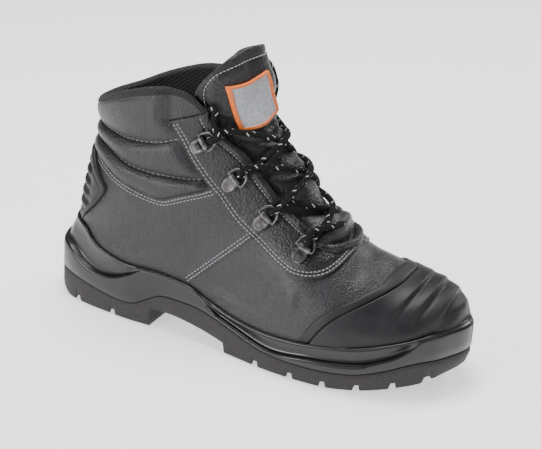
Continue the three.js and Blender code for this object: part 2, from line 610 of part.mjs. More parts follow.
function facing() {
  const outline = (side, top) => [
    [0.213 * soleLength, 0.6 * backHeight],
    [0.21 * soleLength, 0.549 * backHeight],
    [0.197 * soleLength, 0.503 * backHeight],
    [0.177 * soleLength, 0.477 * backHeight],
    [0.148 * soleLength, 0.464 * backHeight],
    ...facingBack[side].map(([z, x]) => [x, z]),
    ...top.map(([x, z]) => [x * soleLength, z * backHeight]),
    [0.213 * soleLength, 1.3 * backHeight],
  ];
  const lateral = across(outline("lateral", [[-0.174, 1.075], [-0.139, 1.09], [-0.08, 1.2]]), -ballWidth, 0);
  const medial = across(outline("medial", [[-0.11, 1.08], [-0.07, 1.092], [-0.03, 1.2]]), 0, ballWidth);
  const skinLayer = layer(gap, gap + facingWall, allRows, smoothRows);
  return skinLayer.intersect(lateral.add(medial)).subtract(throat());
}

// The tongue follows the last below the facing and stands up behind the laces.
// drop: how far its front lies below the inside of the upper. lateral, medial: shares of throatSpan.
const tongueRows = [
  { u: 7.0, drop: 0.05, lateral: 0.15, medial: 0.15 },
  { u: 7.6, drop: 0.1, lateral: 0.23, medial: 0.22 },
  { u: 8.6, drop: 0.3, lateral: 0.26, medial: 0.25 },
  { u: 9.6, drop: 0.8, lateral: 0.265, medial: 0.255 },
  { u: 10.8, drop: 1.5, lateral: 0.27, medial: 0.255 },
  { u: 12.2, drop: 2.2, lateral: 0.275, medial: 0.255 },
  { u: 13.6, drop: 2.8, lateral: 0.285, medial: 0.255 },
  { u: 15.0, drop: 2.6, lateral: 0.295, medial: 0.25 },
  { u: 16.4, drop: 2.3, lateral: 0.3, medial: 0.245 },
  { u: 17.8, drop: 2.3, lateral: 0.29, medial: 0.245 },
  { u: 18.7, drop: 2.9, lateral: 0.27, medial: 0.235 },
  { u: 19.0, drop: 3.7, lateral: 0.22, medial: 0.2 },
];
const tongueColumns = 10;
const tongueDepth = tongueRows.map((r) => [r.u, leather + gap + r.drop]);

// The angle where a row of the last stands at a given y, on the side of the ridge that y is on.
function angleAt(u, y) {
  let [low, high] = y < onLast(u, Math.PI).y ? [Math.PI / 2, Math.PI] : [Math.PI, 1.5 * Math.PI];
  for (let i = 0; i < 30; i += 1) {
    const middle = (low + high) / 2;
    if (onLast(u, middle).y < y) low = middle;
    else high = middle;
  }
  return (low + high) / 2;
}

// A plate that follows the last: rows of points between two edges, with a front and a back face.
function plate(rows, front, back) {
  const points = [];
  const wide = rows[0].length;
  for (const pick of [front, back]) {
    rows.forEach((row, r) => row.forEach(({ u, angle }, c) => {
      points.push(offLast(u, angle, pick(r / (rows.length - 1), c / (wide - 1), r, u)));
    }));
  }
  const other = rows.length * wide;
  const triangles = [];
  const quad = (a, b, c, d) => triangles.push([a, b, c], [a, c, d]);
  for (let r = 0; r < rows.length - 1; r += 1) {
    for (let c = 0; c < wide - 1; c += 1) {
      const a = r * wide + c;
      quad(a, a + 1, a + wide + 1, a + wide);
      quad(other + a, other + a + wide, other + a + wide + 1, other + a + 1);
    }
    const [left, right] = [r * wide, (r + 1) * wide - 1];
    quad(left + wide, other + left + wide, other + left, left);
    quad(right, other + right, other + right + wide, right + wide);
  }
  for (let c = 0; c < wide - 1; c += 1) {
    const top = (rows.length - 1) * wide + c;
    quad(c, other + c, other + c + 1, c + 1);
    quad(top + 1, other + top + 1, other + top, top);
  }
  return body(points, triangles);
}

function tongueGrid(rows) {
  return rows.map(({ u, lateral, medial }) => Array.from({ length: tongueColumns + 1 }, (_, c) => {
    const y = mix(-lateral * throatSpan, medial * throatSpan, c / tongueColumns);
    return { u, angle: angleAt(u, y) };
  }));
}

// The padding thins towards the tongue's edges.
const plump = (r, c) => 1 - 0.55 * Math.abs(2 * c - 1) ** 4 - 0.35 * clamp((r - 0.9) / 0.1, 0, 1);

function tongue() {
  const blank = plate(
    tongueGrid(tongueRows),
    (r, c, row, u) => -curve(tongueDepth, u),
    (r, c, row, u) => -curve(tongueDepth, u) - tongueWall * mix(plump(r, c), 1, 0.25),
  );
  return blank.subtract(upper(gap));
}

// The label sewn to the tongue: a plate with a raised frame.
// Corners are shares of throatSpan across and of backHeight up.
const labelRows = [
  { lateral: -0.2, lateralZ: 1.03, medial: 0.08, medialZ: 1.045 },
  { lateral: -0.235, lateralZ: 1.22, medial: 0.1, medialZ: 1.285 },
];
const labelLines = [0, 0.07, 0.1, 0.37, 0.63, 0.9, 0.93, 1]; // shares of its width and height

// The place on the front of the last at a given height and y.
function frontAt(z, y) {
  let [low, high] = [9, topRow];
  for (let i = 0; i < 24; i += 1) {
    const middle = (low + high) / 2;
    if (onLast(middle, angleAt(middle, y)).z < z) low = middle;
    else high = middle;
  }
  return { u: low, angle: angleAt(low, y) };
}

function label() {
  const [foot, top] = labelRows;
  const rows = labelLines.map((up) => labelLines.map((side) => {
    const y = mix(mix(foot.lateral, top.lateral, up), mix(foot.medial, top.medial, up), side) * throatSpan;
    const z = mix(mix(foot.lateralZ, top.lateralZ, up), mix(foot.medialZ, top.medialZ, up), side) * backHeight;
    return frontAt(z, y);
  }));
  const framed = (share) => Math.abs(2 * share - 1) > 1 - 2.5 / (labelLines.length - 1);
  const back = (r, c, row, u) => -curve(tongueDepth, u) + 2 * gap;
  const front = (r, c, row, u) => back(r, c, row, u) + labelWall + (framed(r) || framed(c) ? labelFrame : 0);
  return plate(rows, front, back);
}

// Eyelets: s is a share of instepHeight along the slope, y a share of throatSpan.
const eyeletRows = [
  { lateral: { s: 1.115, y: -0.292 }, medial: { s: 0.87, y: 0.262 } },
  { lateral: { s: 0.755, y: -0.268 }, medial: { s: 0.6, y: 0.262 } },
  { lateral: { s: 0.395, y: -0.278 }, medial: { s: 0.34, y: 0.27 } },
  { lateral: { s: 0.05, y: -0.31 }, medial: { s: 0.05, y: 0.3 } },
];
const ringSides = 6;
const foldInner = ringWire / 2 + gap;
const foldOuter = foldInner + 0.9;
const seatGap = 0.85; // from the flat clip to the highest point of the rounded facing below it

// The point of the last that lies s along the slope and at a given y.
function seatOf(s, y) {
  const rowAt = (angle) => {
    let [low, high] = [5, topRow];
    for (let i = 0; i < 24; i += 1) {
      const middle = (low + high) / 2;
      if (onLast(middle, angle).sub(new THREE.Vector3(...throatFoot)).dot(slope) < s) low = middle;
      else high = middle;
    }
    return (low + high) / 2;
  };
  let [low, high] = y < 0 ? [Math.PI / 2, Math.PI] : [Math.PI, 1.5 * Math.PI];
  for (let i = 0; i < 24; i += 1) {
    const middle = (low + high) / 2;
    if (onLast(rowAt(middle), middle).y < y) low = middle;
    else high = middle;
  }
  const angle = (low + high) / 2;
  return { u: rowAt(angle), angle };
}

// Where an eyelet sits: its X axis points to the throat, its Z axis out of the boot. The clip's
// plane follows the facing's surface below it.
function eyeletFrame({ s, y }) {
  const { u, angle } = seatOf(s * instepHeight, y * throatSpan);
  const away = 0.05;
  const rowRun = onLast(u + away, angle).distanceTo(onLast(u - away, angle)) / (2 * away);
  const turnRun = onLast(u, angle + away).distanceTo(onLast(u, angle - away)) / (2 * away);
  const side = Math.sign(y);
  const spot = (up, inward) => {
    const row = u + (up * clipWidth) / rowRun;
    const turned = angle - (side * inward * clipLength) / turnRun;
    return offLast(row, turned, skin({ angle: turned, seams: seamsAt(turned) }, row) + gap + facingWall);
  };
  const across = spot(0, 0.5).sub(spot(0, -0.5));
  const out = across.clone().cross(slope).multiplyScalar(-side).normalize();
  const run = out.clone().cross(across).normalize();
  const centre = spot(0, 0);
  let lift = 0;
  for (const up of [-0.5, -0.25, 0, 0.25, 0.5]) {
    for (const inward of [-0.5, -0.25, 0, 0.25, 0.5]) {
      lift = Math.max(lift, spot(up, inward).sub(centre).dot(out));
    }
  }
  return new THREE.Matrix4()
    .makeBasis(run.clone().cross(out), run, out)
    .setPosition(centre.addScaledVector(out, lift + seatGap));
}

// A round wire bent along a closed flat path in the XY plane.
function hoop(path, radius) {
  const points = [];
  const triangles = [];
  const count = path.length;
  path.forEach((p, i) => {
    const run = path[(i + 1) % count].clone().sub(path[(i + count - 1) % count]).normalize();
    const side = new THREE.Vector3(run.y, -run.x, 0);
    for (let k = 0; k < ringSides; k += 1) {
      const turn = (fullTurn * k) / ringSides;
      const q = p.clone().addScaledVector(side, radius * Math.cos(turn));
      points.push(q.setZ(q.z + radius * Math.sin(turn)));
    }
  });
  for (let i = 0; i < count; i += 1) {
    for (let k = 0; k < ringSides; k += 1) {
      const [a, b] = [i * ringSides + k, i * ringSides + ((k + 1) % ringSides)];
      const [c, d] = [((i + 1) % count) * ringSides + k, ((i + 1) % count) * ringSides + ((k + 1) % ringSides)];
      triangles.push([a, b, d], [a, d, c]);
    }
  }
  return body(points, triangles);
}

const barX = clipLength / 2;
const ringTilt = -0.12; // the ring leans down towards the throat

// The D-ring: a straight bar held in the clip's fold, and a bow.
function dRing() {
  const path = [new THREE.Vector3(0, -0.25 * ringWidth, 0), new THREE.Vector3(0, 0.25 * ringWidth, 0)];
  const bows = 7;
  for (let i = 0; i <= bows; i += 1) {
    const turn = (Math.PI * i) / bows;
    path.push(new THREE.Vector3(
      ringReach * Math.sin(turn) ** 0.85,
      (ringWidth / 2) * Math.sign(Math.cos(turn)) * Math.abs(Math.cos(turn)) ** 0.9,
      0,
    ));
  }
  const tilt = new THREE.Matrix4().makeRotationY(-ringTilt).setPosition(barX, 0, foldOuter);
  return hoop(path.map((p) => p.clone()), ringWire / 2).transform(tilt.elements);
}

// The clip: a shield-shaped plate folded round the ring's bar.
function clip() {
  const half = clipWidth / 2;
  const back = -clipLength / 2;
  const shield = new THREE.Shape();
  shield.moveTo(barX - 1, -half);
  shield.lineTo(barX - 1, half);
  shield.lineTo(0.25 * back, half);
  shield.quadraticCurveTo(0.9 * back, 0.85 * half, back, 0);
  shield.quadraticCurveTo(0.9 * back, -0.85 * half, 0.25 * back, -half);
  const sheet = new THREE.ExtrudeGeometry(shield, { depth: clipWall, bevelEnabled: false, curveSegments: 3 });
  const section = new THREE.Shape().absarc(0, 0, foldOuter, 0, fullTurn, false);
  section.holes.push(new THREE.Path().absarc(0, 0, foldInner, 0, fullTurn, true));
  const fold = new THREE.ExtrudeGeometry(section, { depth: clipWidth - 1, bevelEnabled: false, curveSegments: 4 });
  const turn = new THREE.Matrix4()
    .makeRotationX(Math.PI / 2)
    .setPosition(barX, (clipWidth - 1) / 2, foldOuter);
  return toSolid(sheet).add(toSolid(fold, turn));
}

// The lace runs from ring to ring across the throat.
const laceSides = 6;
const laceSteps = 6;
const laceStart = barX + ringReach + ringWire / 2 + laceDiameter / 2 + 0.5;
const laceShoulder = gap + facingWall + laceDiameter / 2 + 1; // lace's middle off the last, beside the throat
const laceMiddle = laceDiameter / 2 + 0.6; // and over the tongue

// A point above the last, where a lace passes over it.
function overLast({ s, y }, height) {
  const { u, angle } = seatOf(s * instepHeight, y * throatSpan);
  return offLast(u, angle, height);
}

const between = (a, b, t) => ({ s: mix(a.s, b.s, t), y: mix(a.y, b.y, t) });
const laceEnd = (seat) => new THREE.Vector3(laceStart, 0, foldOuter + 0.5).applyMatrix4(eyeletFrame(seat));

// A stretch of lace from one ring to another by way of a point over the tongue.
function strand(from, to, middle) {
  const quarter = 0.5;
  const path = new THREE.CatmullRomCurve3([
    laceEnd(from),
    overLast(between(from, middle, quarter), laceShoulder),
    overLast(middle, laceMiddle),
    overLast(between(to, middle, quarter), laceShoulder),
    laceEnd(to),
  ]);
  const section = new THREE.Shape().absarc(0, 0, laceDiameter / 2, 0, fullTurn, false);
  const options = { steps: laceSteps, curveSegments: laceSides / 2, extrudePath: path, bevelEnabled: false };
  return toSolid(new THREE.ExtrudeGeometry(section, options));
}

// Where the stretches of lace between these rings meet.
function meeting(...seats) {
  const share = 1 / seats.length;
  return {
    s: seats.reduce((sum, seat) => sum + seat.s * share, 0),
    y: seats.reduce((sum, seat) => sum + seat.y * share, 0),
  };
}

// The lace: a straight bar between the lowest rings, and a crossing between each pair of rows.
function lace() {
  const lowest = eyeletRows[eyeletRows.length - 1];
  let whole = strand(lowest.lateral, lowest.medial, meeting(lowest.lateral, lowest.medial));
  for (let i = eyeletRows.length - 1; i > 0; i -= 1) {
    const [low, high] = [eyeletRows[i], eyeletRows[i - 1]];
    const middle = meeting(low.lateral, low.medial, high.lateral, high.medial);
    whole = whole.add(strand(low.lateral, high.medial, middle)).add(strand(low.medial, high.lateral, middle));
  }
  return whole;
}

const materials = {
  leather: { color: 0x2b2c30, roughness: 0.55, metalness: 0 },
  foam: { color: 0x1c1c1e, roughness: 0.95, metalness: 0 },
  rubber: { color: 0x303136, roughness: 0.6, metalness: 0 },
  tread: { color: 0x3b3733, roughness: 0.75, metalness: 0 },
  steel: { color: 0x6a6560, roughness: 0.4, metalness: 0.9 },
  lace: { color: 0x1b1b1d, roughness: 0.8, metalness: 0 },
  label: { color: 0xb4b4b2, roughness: 0.6, metalness: 0 },
};
const boot = new THREE.Group();

function piece(name, solid, finish) {
  const made = solid.getMesh();
  const geometry = new THREE.BufferGeometry();
  geometry.setAttribute("position", new THREE.BufferAttribute(made.vertProperties, 3));
  geometry.setIndex(new THREE.BufferAttribute(made.triVerts, 1));
  geometry.computeVertexNormals();
  const mesh = new THREE.Mesh(geometry, new THREE.MeshStandardMaterial(materials[finish]));
  mesh.name = name;
  boot.add(mesh);
}

piece("outsole", outsole(), "tread");
piece("midsole", midsole(), "rubber");
piece("insole", insole(), "foam");
piece("upper", upper(), "leather");
piece("toe_cap", toeCap(), "rubber");
piece("heel_guard", heelGuard(), "rubber");
piece("facing", facing(), "leather");
piece("tongue", tongue(), "leather");
piece("tongue_label", label(), "label");
eyeletRows.forEach((seats, i) => {
  for (const side of ["lateral", "medial"]) {
    const frame = eyeletFrame(seats[side]).elements;
    piece(`clip_${side}_${i + 1}`, clip().transform(frame), "steel");
    piece(`d_ring_${side}_${i + 1}`, dRing().transform(frame), "steel");
  }
});
piece("lace", lace(), "lace");

boot.position.x = soleBack;

export default boot;
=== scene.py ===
import bmesh
import bpy
import math
import numpy as np
from mathutils import Matrix, Vector


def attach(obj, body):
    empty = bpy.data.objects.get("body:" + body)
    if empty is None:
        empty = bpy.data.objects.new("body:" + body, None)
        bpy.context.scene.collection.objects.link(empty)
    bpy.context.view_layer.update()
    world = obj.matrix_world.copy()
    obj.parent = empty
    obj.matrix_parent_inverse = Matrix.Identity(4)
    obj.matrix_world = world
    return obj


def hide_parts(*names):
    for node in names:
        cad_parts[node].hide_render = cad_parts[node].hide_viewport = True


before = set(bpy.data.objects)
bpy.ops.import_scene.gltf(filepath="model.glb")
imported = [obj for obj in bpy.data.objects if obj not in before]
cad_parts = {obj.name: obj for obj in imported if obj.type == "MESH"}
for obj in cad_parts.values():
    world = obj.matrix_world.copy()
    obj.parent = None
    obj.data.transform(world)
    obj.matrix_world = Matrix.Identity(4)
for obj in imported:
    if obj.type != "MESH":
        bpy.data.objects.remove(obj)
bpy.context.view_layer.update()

# The camera, the lights and the floor.
# A studio shot from the outer side and above the toe, on a white sweep. A big soft light hangs
# overhead, another stands on the outer side, and weaker ones fill the toe and the inner side.
camera = bpy.data.objects.new("camera", bpy.data.cameras.new("camera"))
bpy.context.collection.objects.link(camera)
bpy.context.scene.camera = camera
camera.data.sensor_width = 36
camera.data.lens = 111.4
camera_place = Vector((0.4476, -0.9608, 0.5671))
camera_aim = Vector((0.0030, 0.0, 0.0820))
camera_roll = math.radians(4.14)
look = (camera_place - camera_aim).to_track_quat("Z", "Y").to_matrix().to_4x4()
camera.matrix_world = Matrix.Translation(camera_place) @ look @ Matrix.Rotation(camera_roll, 4, "Z")


def softbox(name, place, aim, size, power):
    """A rectangular soft light in watts that looks at a point."""
    light = bpy.data.objects.new(name, bpy.data.lights.new(name, "AREA"))
    light.data.shape = "RECTANGLE"
    light.data.size, light.data.size_y = size
    light.data.energy = power
    light.matrix_world = Matrix.Translation(place) @ (
        (Vector(place) - Vector(aim)).to_track_quat("Z", "Y").to_matrix().to_4x4())
    bpy.context.collection.objects.link(light)


softbox("overhead", (-0.15, 0.1, 1.25), (0.0, 0.0, 0.1), (0.7, 0.5), 19)
softbox("outer_side", (-0.75, -1.35, 0.5), (-0.02, 0.0, 0.1), (0.6, 0.4), 19)
softbox("toe_side", (1.4, -0.5, 0.7), (0.05, 0.0, 0.06), (0.4, 0.5), 3)
softbox("inner_strip", (0.5, 1.3, 0.9), (0.0, 0.0, 0.1), (0.6, 0.5), 9)

world = bpy.data.worlds.new("studio")
bpy.context.scene.world = world
world.use_nodes = True
world.node_tree.nodes["Background"].inputs["Color"].default_value = (1, 1, 1, 1)
world.node_tree.nodes["Background"].inputs["Strength"].default_value = 0.24


class Field:
    """A socket of a material whose value varies over the surface."""

    def __init__(self, tree, socket=None):
        self.tree, self.socket = tree, socket

    def node(self, kind, settings=None, sockets=None, out=0):
        made = self.tree.nodes.new(kind)
        for name, value in (settings or {}).items():
            if name == "stops":
                for i, (place, grey) in enumerate(value):
                    stop = made.color_ramp.elements[i] if i < 2 else made.color_ramp.elements.new(place)
                    stop.position, stop.color = place, (grey, grey, grey, 1)
            else:
                setattr(made, name, value)
        for name, value in (sockets or {}).items():
            if isinstance(value, Field):
                self.tree.links.new(value.socket, made.inputs[name])
            else:
                made.inputs[name].default_value = value
        return Field(self.tree, made.outputs[out])

    def worked(self, operation, *values):
        return self.node("ShaderNodeMath", {"operation": operation}, dict(enumerate(values)))

    def __add__(self, other):
        return self.worked("ADD", self, other)

    def __radd__(self, other):
        return self.worked("ADD", other, self)

    def __sub__(self, other):
        return self.worked("SUBTRACT", self, other)

    def __rsub__(self, other):
        return self.worked("SUBTRACT", other, self)

    def __mul__(self, other):
        return self.worked("MULTIPLY", self, other)

    def __rmul__(self, other):
        return self.worked("MULTIPLY", other, self)

    def sine(self):
        return self.worked("SINE", self)

    def between(self, low, high):
        """0 below low, 1 above high, with a soft step."""
        return self.node("ShaderNodeMapRange", {"interpolation_type": "SMOOTHSTEP"},
                         {"Value": self, "From Min": low, "From Max": high})

    def colour(self, low, high):
        """From one colour to another as the value goes from 0 to 1."""
        return self.node("ShaderNodeMix", {"data_type": "RGBA"}, {0: self, 6: low, 7: high}, 2)

    def noise(self, scale, detail):
        return self.node("ShaderNodeTexNoise", None,
                         {"Vector": self, "Scale": scale, "Detail": detail, "Roughness": 0.55}, "Fac")

    def cells(self, scale):
        return self.node("ShaderNodeTexVoronoi", {"feature": "F1"},
                         {"Vector": self, "Scale": scale}, "Distance")

    def bump(self, strength, depth, normal=None):
        sockets = {"Strength": strength, "Distance": depth, "Height": self}
        if normal:
            sockets["Normal"] = normal
        return self.node("ShaderNodeBump", None, sockets, "Normal")


class Finish:
    """A material: constants sit on the shader's own sockets, what varies is linked to them."""

    def __init__(self, name, **constants):
        self.material = bpy.data.materials.new(name)
        self.material.use_nodes = True
        self.tree = self.material.node_tree
        self.shader = self.tree.nodes["Principled BSDF"]
        for socket, value in constants.items():
            self.shader.inputs[socket.replace("_", " ")].default_value = value
        self.place = Field(self.tree).node("ShaderNodeTexCoord", out="Object")

    def set(self, socket, field):
        self.tree.links.new(field.socket, self.shader.inputs[socket])


floor_mesh = bpy.data.meshes.new("floor")
floor_radius, floor_height, floor_sides = 6, -0.0004, 64
floor_turns = np.linspace(0, 2 * math.pi, floor_sides + 1)[:-1]
floor_points = [(floor_radius * math.cos(t), floor_radius * math.sin(t), floor_height) for t in floor_turns]
floor_mesh.from_pydata(floor_points, [], [list(range(floor_sides))])
floor = bpy.data.objects.new("floor", floor_mesh)
bpy.context.collection.objects.link(floor)
white = Finish("white_sweep", Roughness=0.9)
white.shader.inputs["Base Color"].default_value = (0.93, 0.93, 0.93, 1)
white.shader.inputs["Emission Color"].default_value = (1, 1, 1, 1)
white.shader.inputs["Emission Strength"].default_value = 0.9
floor_mesh.materials.append(white.material)

# The outsole: hard nitrile rubber, moulded first and laid in the mould of the cup sole.
# It carries the lugs of heel and forefoot, split by straight channels that run out at the side,
# and it stops at the heel's breast to leave the arch free.

# The sole's length, the height at the back seam and the widths of ball and heel, in millimetres,
# and how far the last's own frame is moved forwards to stand in the middle of the boot.
SOLE, BACK, WIDE, HEEL = 310.0, 151.0, 110.5, 85.0
SOLE_BACK = 5.704
TREAD_DEPTH = 4.6
ARCH_BACK, ARCH_FRONT = -72.8, -9.2
MM = 0.001


def piece(name, points, faces, finishes, replaces=(), face_finish=None, weld=False, uv=None):
    """A smooth mesh from points in millimetres of the last's own frame, riding on the boot."""
    mesh = bpy.data.meshes.new(name)
    placed = (np.asarray(points, float) + (SOLE_BACK, 0, 0)) * MM
    mesh.from_pydata(placed.tolist(), [], [list(map(int, f)) for f in faces])
    if face_finish is not None:
        mesh.polygons.foreach_set("material_index", np.asarray(face_finish, dtype=np.int32))
    if uv is not None:
        layer = mesh.uv_layers.new(name="braid")
        loops = np.empty(len(mesh.loops), dtype=np.int32)
        mesh.loops.foreach_get("vertex_index", loops)
        layer.data.foreach_set("uv", np.asarray(uv)[loops].ravel())
    if weld:
        work = bmesh.new()
        work.from_mesh(mesh)
        bmesh.ops.remove_doubles(work, verts=work.verts, dist=2e-6)
        work.to_mesh(mesh)
        work.free()
    mesh.polygons.foreach_set("use_smooth", np.ones(len(mesh.polygons), dtype=bool))
    mesh.update()
    made = bpy.data.objects.new(name, mesh)
    bpy.context.collection.objects.link(made)
    for finish in finishes if isinstance(finishes, (list, tuple)) else [finishes]:
        mesh.materials.append(finish.material)
    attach(made, "root")
    if replaces:
        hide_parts(*replaces)
    return made


def grid_faces(rows, columns, closed=False, flip=False):
    """Quads of a grid of points laid out row by row."""
    r, c = np.meshgrid(np.arange(rows - 1), np.arange(columns if closed else columns - 1), indexing="ij")
    a = (r * columns + c).ravel()
    b = (r * columns + (c + 1) % columns).ravel()
    quads = np.stack([a, b, b + columns, a + columns], -1)
    return quads[:, ::-1] if flip else quads


def smooth(t):
    t = np.clip(t, 0, 1)
    return t * t * (3 - 2 * t)


def mix(a, b, t):
    return a + (b - a) * t


def curve(rows, x):
    """Smooth value at x through rows [x, value], held level past both ends."""
    xs, ys = np.asarray(rows, float).T
    steps = np.diff(ys) / np.diff(xs)
    middle = (ys[2:] - ys[:-2]) / (xs[2:] - xs[:-2])
    slopes = np.concatenate([steps[:1], middle, steps[-1:]])
    x = np.clip(x, xs[0], xs[-1])
    i = np.clip(np.searchsorted(xs, x, side="right") - 1, 0, len(xs) - 2)
    h = xs[i + 1] - xs[i]
    t = (x - xs[i]) / h
    return ((1 + 2 * t) * (1 - t) ** 2 * ys[i] + t * (1 - t) ** 2 * h * slopes[i]
            + t * t * (3 - 2 * t) * ys[i + 1] + t * t * (t - 1) * h * slopes[i + 1])


def heights(rows, tall=BACK):
    return [(x * SOLE, z * tall) for x, z in rows]


tread_top = heights([(-0.5, 0.14), (-0.443, 0.125), (-0.348, 0.093), (-0.282, 0.093), (-0.239, 0.139),
                     (-0.21, 0.172), (-0.174, 0.178), (-0.102, 0.17), (-0.013, 0.13), (0.069, 0.088),
                     (0.164, 0.078), (0.279, 0.09), (0.344, 0.125), (0.397, 0.165), (0.43, 0.178),
                     (0.5, 0.186)])
footbed = heights([(-0.45, 0.18), (-0.3, 0.18), (-0.2, 0.183), (-0.09, 0.17), (0.03, 0.138), (0.115, 0.126),
                   (0.206, 0.123), (0.284, 0.123), (0.35, 0.127), (0.4, 0.14), (0.45, 0.155)])
tread_foot = heights([(-0.515, 12), (-0.5, 6.7), (-0.483, 2.2), (-0.46, 0), (0.2, 0), (0.26, 1), (0.331, 4.1),
                      (0.41, 9.35), (0.456, 13.3), (0.5, 16.7)], 1)
arch_foot = heights([(-0.23, 0.088), (-0.18, 0.092), (-0.131, 0.08), (-0.079, 0.063), (-0.033, 0.046)])
# Along the sole, the width that counts there, and its shares on the lateral and medial sides.
sole_plan = [(-0.5, HEEL, 0, 0), (-0.478, HEEL, 0.3, 0.28), (-0.449, HEEL, 0.39, 0.375),
             (-0.407, HEEL, 0.445, 0.435),
             (-0.342, HEEL, 0.482, 0.478), (-0.277, HEEL, 0.506, 0.494), (-0.18, HEEL, 0.505, 0.47),
             (-0.082, HEEL, 0.525, 0.447), (0.015, WIDE, 0.453, 0.365), (0.096, WIDE, 0.49, 0.41),
             (0.161, WIDE, 0.5, 0.455), (0.21, WIDE, 0.496, 0.485), (0.262, WIDE, 0.48, 0.5),
             (0.332, WIDE, 0.43, 0.488), (0.398, WIDE, 0.34, 0.43), (0.454, WIDE, 0.222, 0.31),
             (0.483, WIDE, 0.09, 0.185), (0.5, WIDE, -0.072, 0.072)]
plan_lateral = [(math.acos(-2 * x), -lateral * wide) for x, wide, lateral, _ in sole_plan]
plan_medial = [(math.acos(-2 * x), medial * wide) for x, wide, _, medial in sole_plan]


def plan_point(around):
    """A point of the plan: around runs from the heel up the lateral side to the toe and back."""
    around = np.mod(around, 2 * math.pi)
    lateral = around <= math.pi
    turn = np.where(lateral, around, 2 * math.pi - around)
    y = np.where(lateral, curve(plan_lateral, turn), curve(plan_medial, turn))
    x = -SOLE / 2 * np.cos(turn) - SOLE_BACK
    return x - 1.5 * smooth((-x - 0.42 * SOLE) / (0.08 * SOLE)), y


def sole_ring(around, inset, height):
    x, y = plan_point(around)
    ahead, behind = plan_point(around + 0.1), plan_point(around - 0.1)
    run = np.stack([ahead[0] - behind[0], ahead[1] - behind[1]])
    run /= np.linalg.norm(run, axis=0)
    drawn = inset(x) if callable(inset) else inset
    px, py = x - run[1] * drawn, y + run[0] * drawn
    return np.stack([px, py, height(px)], -1)


def tread(x):
    return np.maximum(0, curve(tread_foot, x))


def under_sole(x):
    return np.minimum(curve(tread_top, x), curve(footbed, x) - 5)


channels = [0.055, 0.143, 0.22, 0.294, 0.365, 0.425, -0.437, -0.334]
CHANNEL_HALF = 1.7


def channel(x):
    """How far a point of the tread's edge is cut up by the channels across it, from 0 to 1."""
    near = np.min([np.abs(x - c * SOLE) for c in channels], axis=0)
    return 1 - smooth(near - CHANNEL_HALF)


def tread_bottom(x):
    in_arch = smooth((x - ARCH_BACK) / 1.2) * smooth((ARCH_FRONT - x) / 1.6)
    return mix(tread(x), np.maximum(tread(x), curve(arch_foot, x)), in_arch)


# Points round the edge stand closer at the channels and at the ends of the arch.
stops = list(np.linspace(-154.6, 154.9, 190)) + [-SOLE / 2, SOLE / 2]
for c in channels:
    stops += [c * SOLE + SOLE_BACK + d for d in (-2.8, -2.4, -2.0, -1.6, -0.6, 0.6, 1.6, 2.0, 2.4, 2.8)]
stops += [-67.8, -67.2, -66.6, -66, -4.4, -3.6, -2.8]
sole_turns = np.unique(np.arccos(np.clip(-np.array(stops) / (SOLE / 2), -1, 1)))
around_sole = np.concatenate([sole_turns, 2 * math.pi - sole_turns[-2:0:-1]])
side_count = len(sole_turns)


def tread_edge(lift):
    def height(x):
        low = tread_bottom(x) + lift
        cut = np.minimum(tread(x) + TREAD_DEPTH, curve(tread_top, x) - 0.6) * channel(x)
        return np.minimum(np.maximum(low, cut), curve(tread_top, x) - 0.3)
    return height


def toe_share(x):
    return smooth((x - 0.4 * SOLE) / (0.08 * SOLE))


outsole_rings = [
    sole_ring(around_sole, lambda x: 2.0 + 5 * toe_share(x), tread_edge(0)),
    sole_ring(around_sole, lambda x: 1.1 + 4 * toe_share(x), tread_edge(0.3)),
    sole_ring(around_sole, lambda x: 0.5 + 2.2 * toe_share(x), tread_edge(1.6)),
    sole_ring(around_sole, 0.35, lambda x: np.maximum(tread_edge(2.6)(x), curve(tread_top, x) - 4)),
    sole_ring(around_sole, 0.5, lambda x: curve(tread_top, x) - 0.5),
    sole_ring(around_sole, 0.9, lambda x: curve(tread_top, x)),
    sole_ring(around_sole, 7, under_sole),
]
outsole_points = np.concatenate(outsole_rings)
outsole_faces = list(grid_faces(len(outsole_rings), len(around_sole), closed=True))
# The tread itself: strips across the sole, with a zigzag channel down its middle and a straight
# one on each side of it.
lateral_edge = outsole_rings[0][:side_count]
medial_edge = np.concatenate([outsole_rings[0][:1], outsole_rings[0][side_count:][::-1],
                              outsole_rings[0][side_count - 1:side_count]])
across_shares = np.array([0, 0.03, 0.1, 0.2, 0.28, 0.31, 0.36, 0.39, 0.45, 0.5,
                          0.55, 0.61, 0.64, 0.69, 0.72, 0.8, 0.9, 0.97, 1])
strip = lateral_edge[:, None] + (medial_edge - lateral_edge)[:, None] * across_shares[None, :, None]
strip_x = strip[:, :, 0].copy()
tread_width = (medial_edge[:, 1] - lateral_edge[:, 1])[:, None]
ZIGZAG, ZIGZAG_PITCH, CARVE_DEPTH, CHANNEL_SLANT = 0.06, 24, 3, 0.42
sway = ZIGZAG * np.sin(strip_x[:, :1] * 2 * math.pi / ZIGZAG_PITCH)
middle_channel = 1 - smooth((np.abs(across_shares[None] - 0.5 + sway) - 0.05) / 0.03)
side_channel = 1 - smooth((np.abs(np.abs(across_shares[None] - 0.5) - 0.17) - 0.015) / 0.02)
whole_tread = (strip_x < ARCH_BACK - 0.2) | (strip_x > ARCH_FRONT + 1.2)
not_narrow = np.minimum(1, 4 * tread_width / WIDE)
carve = np.maximum(middle_channel, side_channel) * CARVE_DEPTH * whole_tread * not_narrow
inwards = np.minimum(across_shares, 1 - across_shares)[None] * tread_width
slanted = (np.minimum(tread(strip_x) + TREAD_DEPTH, curve(tread_top, strip_x) - 0.6)
           * channel(strip_x + CHANNEL_SLANT * inwards))
strip[:, 1:-1, 2] = np.maximum(slanted, tread_bottom(strip_x) + carve)[:, 1:-1]
first = len(outsole_points)
outsole_points = np.concatenate([outsole_points, strip.reshape(-1, 3)])
outsole_faces += list(grid_faces(side_count, len(across_shares)) + first)

